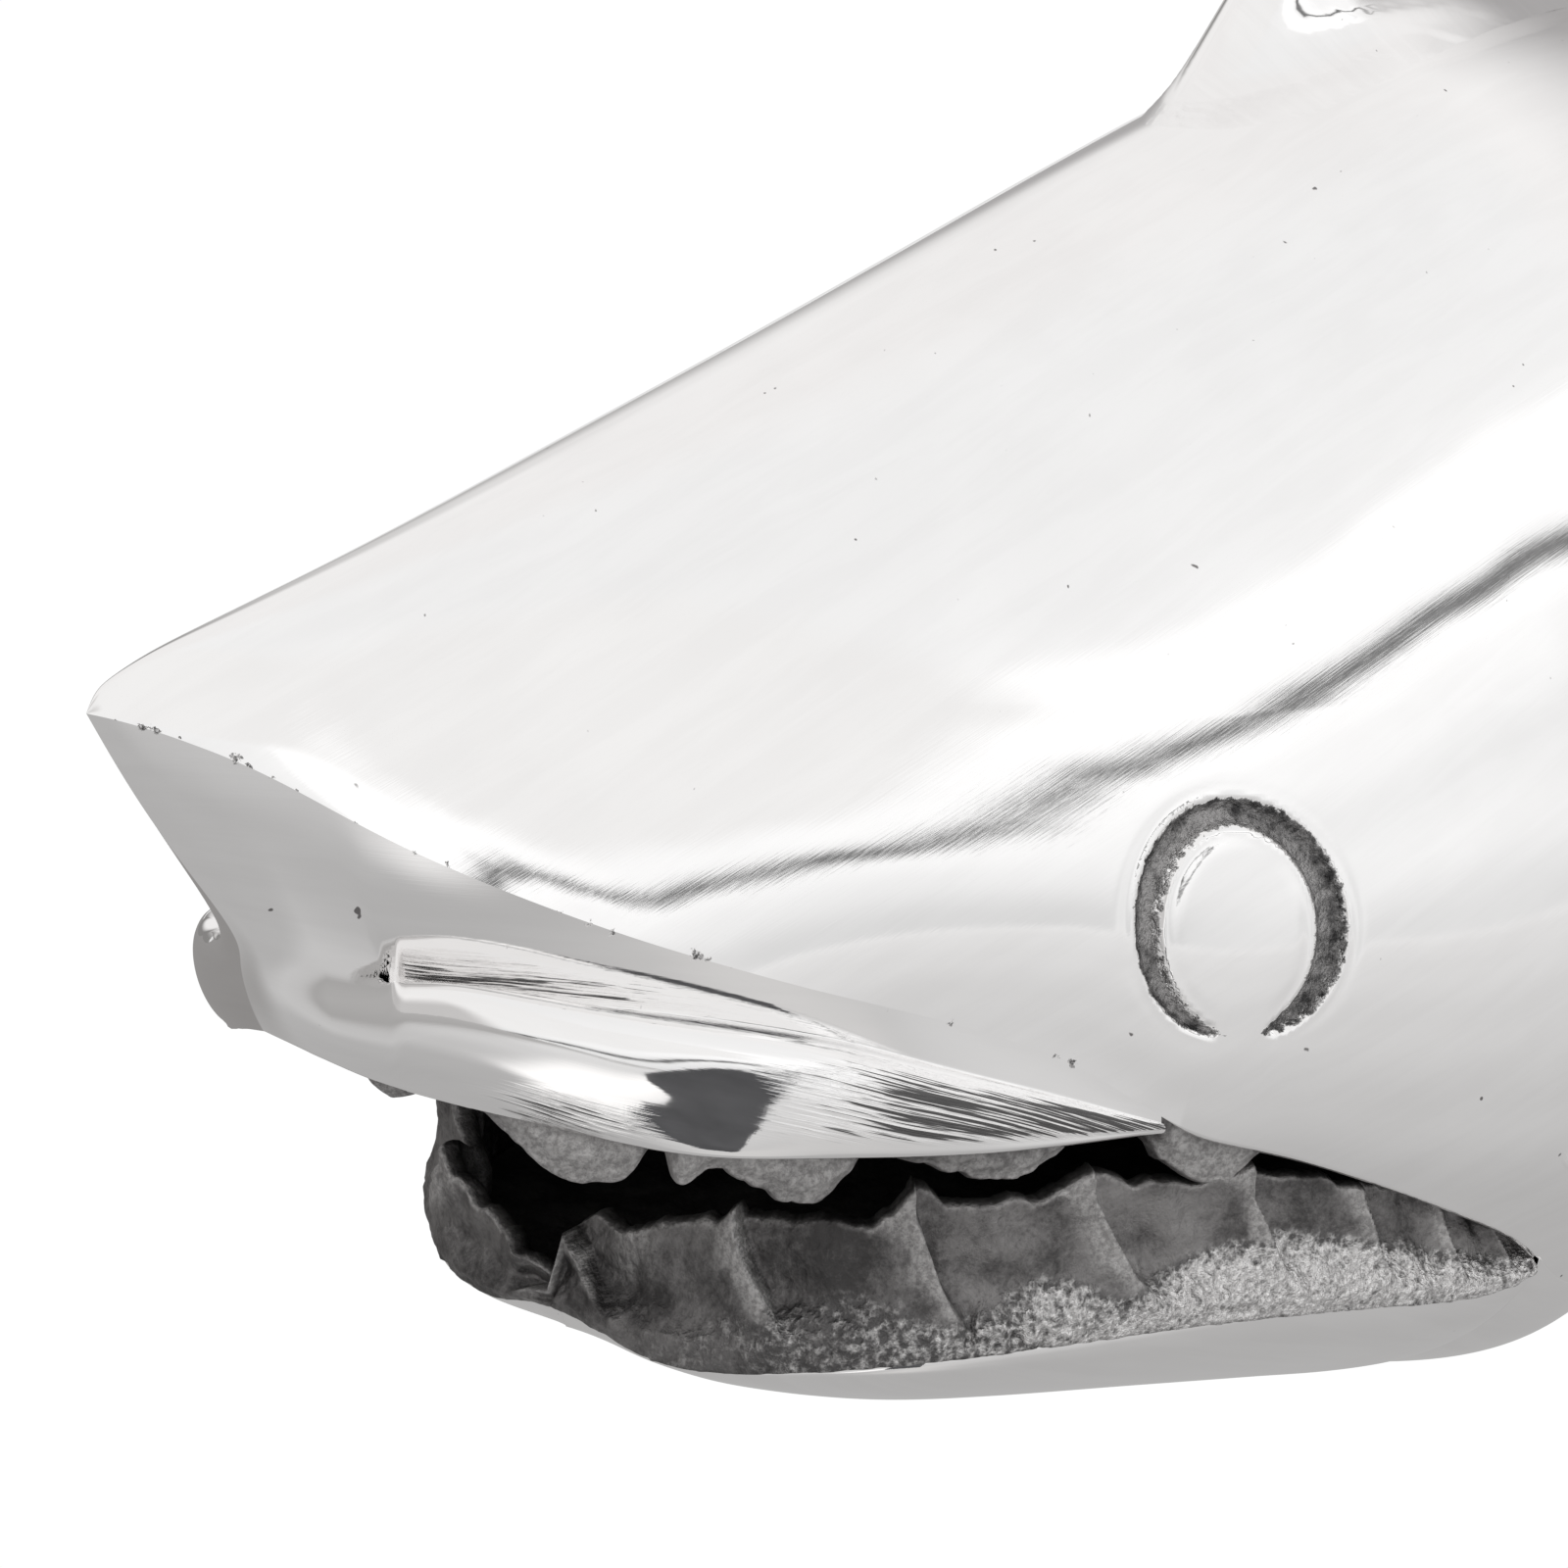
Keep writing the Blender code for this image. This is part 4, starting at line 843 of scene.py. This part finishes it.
# Flaws of the skin: a, w, h in mm, radius, strength; the left side only, as the wheel left them.
FLAWS = [
    ((3.6, 2.7, -0.9), 0.5, 0.9), ((7.4, 4.8, -1.8), 0.9, 1.15), ((9.2, 5.8, -2.4), 0.8, 1.15), ((12.5, 7.6, -3.2), 0.45, 0.9),
    ((15.5, 9.3, -4.2), 0.5, 0.95), ((20.5, 12.2, -6.4), 1.5, 0.92), ((22.5, 13.3, -7.6), 0.8, 0.9), ((25.5, 14.9, -9.2), 0.7, 0.95),
    ((29, 16.8, -11.2), 0.5, 0.95), ((38, 21.3, -16.4), 0.5, 0.85), ((47, 26.0, -21), 0.7, 0.95), ((52, 28.2, -23), 0.8, 1.0),
    ((70, 36.6, -31), 0.7, 0.95), ((75, 38.6, -33), 0.8, 0.95), ((79, 40.2, -34.6), 0.9, 0.95), ((88, 43.5, -31.7), 1.3, 0.74),
    ((93, 46.6, -38.8), 1.5, 1.0), ((95, 47.4, -39.6), 1.0, 0.95), ((99, 48.9, -41), 0.6, 0.9), ((128, 59, -49.2), 0.7, 0.9),
    ((140, 63.7, -52.3), 0.9, 0.9), ((150, 67.2, -55.2), 0.5, 0.9), ((161, 71.6, -59.2), 0.9, 1.0), ((164, 72.7, -60.6), 1.2, 1.0),
    ((14, 8.0, -8.0), 0.45, 0.9), ((19, 10.4, -12.5), 0.5, 0.9),
    ((45, 14, -55), 0.8, 0.85), ((62, 27, -60), 0.5, 0.85),
]  # fmt: skip


def flaw_field(p):
    worst = np.zeros(p.shape[:-1])
    for centre, radius, strength in FLAWS:
        d = np.linalg.norm(p - np.array(centre), axis=-1) / radius
        worst = np.maximum(worst, strength * np.exp(-(d**2) * 0.7))
    return worst


def ended(full, normals, fields):
    """The same skin with one more row, which closes its tail end."""
    last = full[-1:]
    middle = (last.min(1) + last.max(1)) / 2
    end = middle + (last - middle) * vec(1.0, 0.04, 1.0) + vec(0.5, 0.0, 0.0)
    longer = {key: np.concatenate([value, value[-1:]]) for key, value in fields.items()}
    return np.concatenate([full, end]), None if normals is None else np.concatenate([normals, normals[-1:]]), longer


# Upper casting.
grid = np.concatenate([HALF_BACK, BACK_LIPS], 1)
lips_n = grid_normals(grid)
lips_n *= np.sign(np.sum(lips_n[..., 1]))
normal = np.concatenate([back_n, lips_n[:, len(T) :]], 1)
full = np.concatenate([grid[:, ::-1], grid[:, 1:] * MIRROR], 1)[:, :, :] * np.array([1, 1, 1])
full_n = np.concatenate([normal[:, ::-1], normal[:, 1:] * MIRROR], 1)
away, half = eye_field(full)
across = run_length(full, 1)
across = across - across[:, [len(T) + len(BACK_LIPS[0]) - 1]]
fields = dict(
    flow=vec(full[..., 0] + 0.35 * np.abs(across), across, 0),
    eye_away=away,
    eye_half=half,
    flaw=flaw_field(full),
    drag_lines_and_shade=np.zeros(full.shape[:2]),
)
full, full_n, fields = ended(full, full_n, fields)
centre = vec(full[..., 0], 0, -20)
piece("back_skin", full, POLISHED, ["back_casting"], full_n, fields, out=full - centre)

# Underside of the snout, both sides in one sweep round the front.
full = np.concatenate([(SNOUT * MIRROR)[:0:-1], SNOUT], 0)
full_n = np.concatenate([(snout_n * MIRROR)[:0:-1], left_n], 0)
along = np.concatenate([-run_length(SNOUT[:, [WALLS + 8]], 0)[:0:-1], run_length(SNOUT[:, [WALLS + 8]], 0)], 0)
across = run_length(full, 1)
m = np.abs(np.concatenate([-S[:0:-1], S]))[:, None]
row = np.arange(full.shape[1])[None, :]
# Where the dark drag lines go, on the near side only: along the groove, over the middle of the band and at its foot.
# There they are polishing lines and also painted shade of the groove.
over = step(m, 0.146, 0.15) * (1 - 0.7 * step(m, 0.26, 0.45)) * np.exp(-(((row - WALLS - 1) / 2.6) ** 2)) * 0.9
band = step(m, 0.40, 0.58) * step(row, WALLS + 3, WALLS + 14) * (1 - step(row, WALLS + BANDS - 12, WALLS + BANDS - 3))
foot = np.exp(-(((m - 0.27) / 0.05) ** 2)) * step(row, WALLS + 31, WALLS + 38) * (1 - step(row, WALLS + BANDS - 2, WALLS + BANDS + 2))
drag_lines_and_shade = np.maximum(np.maximum(over, 1.15 * band), 0.85 * foot) * (np.concatenate([-S[:0:-1], S])[:, None] > 0)
fields = dict(
    flow=vec(along + 0 * across, across - across[:, [WALLS]], 0),
    eye_away=np.full(across.shape, 99.0),
    eye_half=np.zeros(across.shape),
    flaw=flaw_field(full),
    drag_lines_and_shade=drag_lines_and_shade,
)
piece("snout_underside_skin", full, POLISHED, ["snout_underside"], full_n, fields, out=full - np.array([90, 0, -40]))

# Jaw and belly.
half = BELLY
n = grid_normals(half)
n *= np.sign(np.sum(n[:, BELLY_TURN:, 1]))
full = np.concatenate([half, (half[:, ::-1] * MIRROR)[:, 1:]], 1)
full_n = np.concatenate([n, (n[:, ::-1] * MIRROR)[:, 1:]], 1)
across = run_length(full, 1)
across = across - across[:, [half.shape[1] - 1]]
fields = dict(
    flow=vec(full[..., 0] * 1.0, across, 0),
    eye_away=np.full(across.shape, 99.0),
    eye_half=np.zeros(across.shape),
    flaw=np.zeros(across.shape),
    drag_lines_and_shade=np.zeros(across.shape),
)
full, _, fields = ended(full, None, fields)
piece("jaw_belly_skin", full, POLISHED, ["jaw_belly_casting"], None, fields, out=full - vec(full[..., 0] + 20, 0, -60))

# Gums.
rows, u, ridge, worn = lower_gum()
piece("lower_gum", rows, CAST, ["lower_teeth"], None, dict(worn=worn, ridge=ridge), loop=True, caps=True, out=rows - np.array([200, 0, 0]) * np.array([1, 0, 0]) - rows * np.array([0, 0, 1]))
rows, u, worn = upper_gum()
# The upper gum takes the lighter colour of the edge highlight: a third of it all over, and more on the lower part of
# its lobes.
piece("upper_gum", rows, CAST, ["upper_teeth"], None, dict(worn=0 * worn, ridge=0.35 + 0.65 * worn), loop=True, caps=True, out=rows - np.array([200, 0, 0]) * np.array([1, 0, 0]) - rows * np.array([0, 0, 1]))

# Fins.
for name, (table, n, flare, base) in FIN_TABLES.items():
    grid = blade(table, n, 46, flare, base)
    fin_n = None
    if "dorsal" in name:
        grid, fin_n = rooted(grid, *((3.5, 4.0, 6.5) if n > 100 else (4.0, 2.5, 3.0)))
    for side in (1, -1) if name.endswith("_left") else (1,):
        g = grid * np.array([1, side, 1])
        label = name if side == 1 else name.replace("left", "right")
        if name.startswith(("pectoral", "tail")):
            z = stand(g)[:, 2].reshape(g.shape[:2]) * 1000
            # The tip lies flat on the table, with a little thickness left in it.
            half = g.shape[1] // 2
            least = np.full(z.shape, 0.1)
            upper = slice(half + 1, -1) if z[:, half:].mean() > z[:, :half].mean() else slice(1, half)
            least[:, upper] = 1.1
            g = g + np.maximum(least - z, 0)[..., None] * np.array([-np.sin(np.radians(PITCH)), 0, np.cos(np.radians(PITCH))])
        flow = vec(run_length(g, 0), run_length(g, 1), 0)
        middle = (g[:, :1] + g[:, [g.shape[1] // 2]]) / 2
        piece(label + "_skin", g, PLAIN, [label], fin_n, dict(flow=flow), loop=False, caps=True, out=g - middle)

# The lining of the mouth stays as cast.
for name in ("mouth_roof", "mouth_floor"):
    o = bpy.data.objects[name]
    o.data.materials.clear()
    o.data.materials.append(DARK)


# ---------------------------------------------------------------- floor, light, camera
scene = bpy.context.scene
floor = bpy.data.meshes.new("floor")
floor.from_pydata([(-30, -30, -0.0005), (30, -30, -0.0005), (30, 30, -0.0005), (-30, 30, -0.0005)], [], [(0, 1, 2, 3)])
floor_obj = bpy.data.objects.new("floor", floor)
scene.collection.objects.link(floor_obj)


class Light(Net):
    """A net that ends in light: what the floor gives off, or the studio all round."""

    def __init__(self, tree, output):
        self.tree = tree
        tree.nodes.clear()
        self.out = tree.nodes.new(output)

    def steps(self, value, *stops, how="EASE"):
        """A grey level through stops of (value, level), smooth between them."""
        n = node(self.tree, "ShaderNodeValToRGB")
        n.color_ramp.interpolation = how
        low, high = stops[0][0], stops[-1][0]
        while len(n.color_ramp.elements) < len(stops):
            n.color_ramp.elements.new(0.5)
        for element, (at, level) in zip(n.color_ramp.elements, stops):
            element.position, element.color = (at - low) / (high - low), (level, level, level, 1)
        spread = node(self.tree, "ShaderNodeMapRange", clamp=True)
        self.put(spread.inputs["Value"], value)
        spread.inputs["From Min"].default_value, spread.inputs["From Max"].default_value = low, high
        self.put(n.inputs[0], spread.outputs["Result"])
        return n.outputs["Color"]

    def parts(self, vector):
        n = node(self.tree, "ShaderNodeSeparateXYZ")
        self.put(n.inputs[0], vector)
        return n.outputs


# The floor is pale white to the camera. What the polished underside mirrors is painted on it: painted shade that
# deepens close to the shark as its soft shadow, a painted bright strip and a lighter patch on the near side, and
# painted shade on the far side and ahead of the nose.
painted_shade_floor = bpy.data.materials.new("floor_painted_shade")
painted_shade_floor.use_nodes = True
m = Light(painted_shade_floor.node_tree, "ShaderNodeOutputMaterial")
x, y, _ = m.parts(m.place())
beyond = m.math("MAXIMUM", m.math("SUBTRACT", m.math("ABSOLUTE", x), 0.45), 0.0)
away = m.math("SQRT", m.math("ADD", m.math("MULTIPLY", beyond, beyond), m.math("MULTIPLY", y, y)))
# Painted soft shadow of the shark: the level falls from 0.88 far off to 0.44 close by.
level = m.steps(m.math("LOGARITHM", away, 10.0), (-1.0, 0.44), (-0.72, 0.47), (-0.52, 0.58), (-0.2, 0.68), (0.2, 0.76), (0.6, 0.80), (1.3, 0.88))
# Painted highlight: a bright strip on the floor in front of the near side, which the lip mirrors.
strip = m.math("MULTIPLY", m.math("ADD", x, 0.548), 26.0)
strip = m.math("MULTIPLY", m.math("EXPONENT", m.math("MULTIPLY", m.math("MULTIPLY", strip, strip), -1.0)), m.ramp(y, -0.185, -0.255))
level = m.mix(strip, level, (1.18, 1.17, 1.16))
# Painted light: a lighter patch on the floor beside the head on the near side, which the wall under the crease mirrors.
patch = m.math("MULTIPLY", m.math("ADD", x, 0.42), 20.0)
patch = m.math("MULTIPLY", m.math("EXPONENT", m.math("MULTIPLY", m.math("MULTIPLY", patch, patch), -1.0)), m.math("MULTIPLY", m.ramp(y, -0.13, -0.18), m.ramp(y, -0.42, -0.3)))
level = m.mix(patch, level, (0.66, 0.655, 0.65))
# Painted shade on the floor in front of the far side.
far = m.math("MULTIPLY", m.ramp(y, 0.10, 0.20), m.ramp(m.math("SUBTRACT", x, m.math("MULTIPLY", y, 0.46)), -0.12, -0.26))
level = m.mix(m.math("MULTIPLY", far, 0.92), level, (0.25, 0.245, 0.242))
# Painted shade on the floor ahead of the nose.
level = m.mix(m.math("MULTIPLY", m.ramp(x, -0.72, -1.1), 0.6), level, (0.22, 0.215, 0.21))
seen, met, which = (node(m.tree, k) for k in ("ShaderNodeEmission", "ShaderNodeEmission", "ShaderNodeMixShader"))
seen.inputs[0].default_value, seen.inputs[1].default_value = (1, 1, 1, 1), 1.02
m.put(met.inputs[0], m.mix(0.04, level, (0.6, 0.5, 0.45)))
m.put(which.inputs[0], node(m.tree, "ShaderNodeLightPath").outputs["Is Camera Ray"])
m.put(which.inputs[1], met.outputs[0])
m.put(which.inputs[2], seen.outputs[0])
m.put(m.out.inputs[0], which.outputs[0])
floor.materials.append(painted_shade_floor)

# The studio: a white tent with a wide soft light overhead, a seam along each side, and the dark camera stand in front.
world = bpy.data.worlds.new("studio")
scene.world = world
world.use_nodes = True
m = Light(world.node_tree, "ShaderNodeOutputWorld")
way = node(m.tree, "ShaderNodeTexCoord").outputs["Generated"]
x, y, z = m.parts(way)
seam = m.steps(x, (-0.3, 0.0), (0.0, 0.10), (0.14, 0.215), (0.18, 0.238), (0.215, 0.292), (0.255, 0.36), (0.31, 0.41), (0.4, 0.452), (0.53, 0.482), (0.63, 0.462), (0.85, 0.455), how="CARDINAL")
tilt = m.math("ADD", m.math("SUBTRACT", z, seam), m.math("MULTIPLY", m.math("SUBTRACT", m.noise(way, 2.5, 2, 0.5), 0.5), 0.012))
tent = m.steps(tilt, (-0.6, 1.0), (-0.42, 0.92), (-0.32, 0.99), (-0.2, 0.93), (-0.1, 1.04), (-0.036, 1.12), (-0.026, 0.22), (-0.012, 0.18), (-0.003, 1.0), (0.02, 1.14), (0.095, 1.12), (0.115, 0.98), (0.17, 0.95), (0.3, 0.925), (0.6, 0.94))
tent = m.mix(m.math("MULTIPLY", m.ramp(z, 0.2, 0.0), 0.13), tent, (0.0, 0.0, 0.0))
tent = m.mix(m.math("MULTIPLY", m.ramp(x, 0.3, 0.08), 0.11), tent, (0.0, 0.0, 0.0))
tent = m.mix(m.math("MULTIPLY", m.ramp(x, 0.32, 0.28), m.ramp(tilt, 0.04, 0.075)), tent, (0.93, 0.925, 0.92))
near_wall = m.mix(m.ramp(z, 0.3, 0.75), (0.6, 0.59, 0.585), (0.94, 0.93, 0.925))
tent = m.mix(m.ramp(x, -0.25, -0.45), tent, near_wall)
far_wall = m.mix(m.ramp(z, 0.0, 0.4), (0.27, 0.265, 0.26), (0.92, 0.91, 0.905))
tent = m.mix(m.ramp(y, -0.3, 0.05), tent, far_wall)
front = m.math("ADD", m.math("MULTIPLY", x, 0.80), m.math("MULTIPLY", y, 0.60))
back_wall = m.math("MULTIPLY", m.ramp(front, 0.45, 0.85), m.ramp(z, 0.62, 0.2))
tent = m.mix(m.math("MULTIPLY", back_wall, 0.5), tent, (0.68, 0.67, 0.665))
ahead_wall = m.math("MULTIPLY", m.math("MULTIPLY", m.ramp(x, -0.55, -0.9), m.ramp(z, 0.5, 0.1)), m.ramp(y, -0.45, -0.15))
tent = m.mix(m.math("MULTIPLY", ahead_wall, 0.75), tent, (0.3, 0.295, 0.29))
tent = m.mix(m.math("MULTIPLY", m.ramp(y, 0.5, 0.75), m.math("MULTIPLY", m.ramp(z, 0.6, 0.25), m.ramp(x, 0.58, 0.48))), tent, (0.25, 0.245, 0.24))
end_wall = m.mix(m.ramp(m.math("SUBTRACT", z, m.math("MULTIPLY", y, 0.25)), 0.40, 0.72), (0.42, 0.41, 0.41), (0.95, 0.94, 0.935))
tent = m.mix(m.ramp(x, 0.655, 0.73), tent, end_wall)
background = node(m.tree, "ShaderNodeBackground")
m.put(background.inputs[0], tent)
backdrop, which = node(m.tree, "ShaderNodeBackground"), node(m.tree, "ShaderNodeMixShader")
backdrop.inputs[0].default_value, backdrop.inputs[1].default_value = (1, 1, 1, 1), 1.02
m.put(which.inputs[0], node(m.tree, "ShaderNodeLightPath").outputs["Is Camera Ray"])
m.put(which.inputs[1], background.outputs[0])
m.put(which.inputs[2], backdrop.outputs[0])
m.put(m.out.inputs[0], which.outputs[0])

# A dark stand beside the head, out of the picture, which shows only as a reflection in the lip.
outline = [
    (-0.512, 0.0), (-0.508, 0.02), (-0.497, 0.046), (-0.487, 0.066), (-0.470, 0.084), (-0.462, 0.100), (-0.466, 0.120), (-0.460, 0.138),
    (-0.447, 0.152), (-0.432, 0.163), (-0.418, 0.168), (-0.402, 0.172), (-0.391, 0.166), (-0.389, 0.156), (-0.396, 0.140),
    (-0.405, 0.124), (-0.411, 0.108), (-0.415, 0.092), (-0.421, 0.070), (-0.424, 0.048), (-0.428, 0.02), (-0.430, 0.0)]  # fmt: skip
points = [(x, -0.30, z) for x, z in outline]
stand_mesh = bpy.data.meshes.new("dark_stand")
stand_mesh.from_pydata(points, [], [tuple(range(len(points)))])
stand_obj = bpy.data.objects.new("dark_stand", stand_mesh)
scene.collection.objects.link(stand_obj)
stand_obj.visible_camera = False
stand_obj.visible_diffuse = False
stand_obj.visible_shadow = False
ink = bpy.data.materials.new("dark_stand")
ink.use_nodes = True
m = Light(ink.node_tree, "ShaderNodeOutputMaterial")
glow = node(m.tree, "ShaderNodeEmission")
m.put(glow.inputs[0], m.mix(m.noise(m.place(), 30.0, 3), (0.05, 0.05, 0.052), (0.13, 0.13, 0.135)))
m.put(m.out.inputs[0], glow.outputs[0])
stand_mesh.materials.append(ink)

RIGHT, UP, BACK = (0.66913, -0.74314, 0.0), (0.22223, 0.20010, 0.95424), (-0.70914, -0.63851, 0.29904)
camera = bpy.data.cameras.new("camera")
camera.lens, camera.sensor_width, camera.sensor_fit = 94.5, 36.0, "HORIZONTAL"
camera.clip_start, camera.clip_end = 0.02, 100
camera_obj = bpy.data.objects.new("camera", camera)
scene.collection.objects.link(camera_obj)
camera_obj.matrix_world = Matrix(
    [(RIGHT[k], UP[k], BACK[k], (-0.8882, -0.4838, 0.4031)[k]) for k in range(3)] + [(0, 0, 0, 1)]
)
scene.camera = camera_obj
scene.view_settings.view_transform = "Standard"
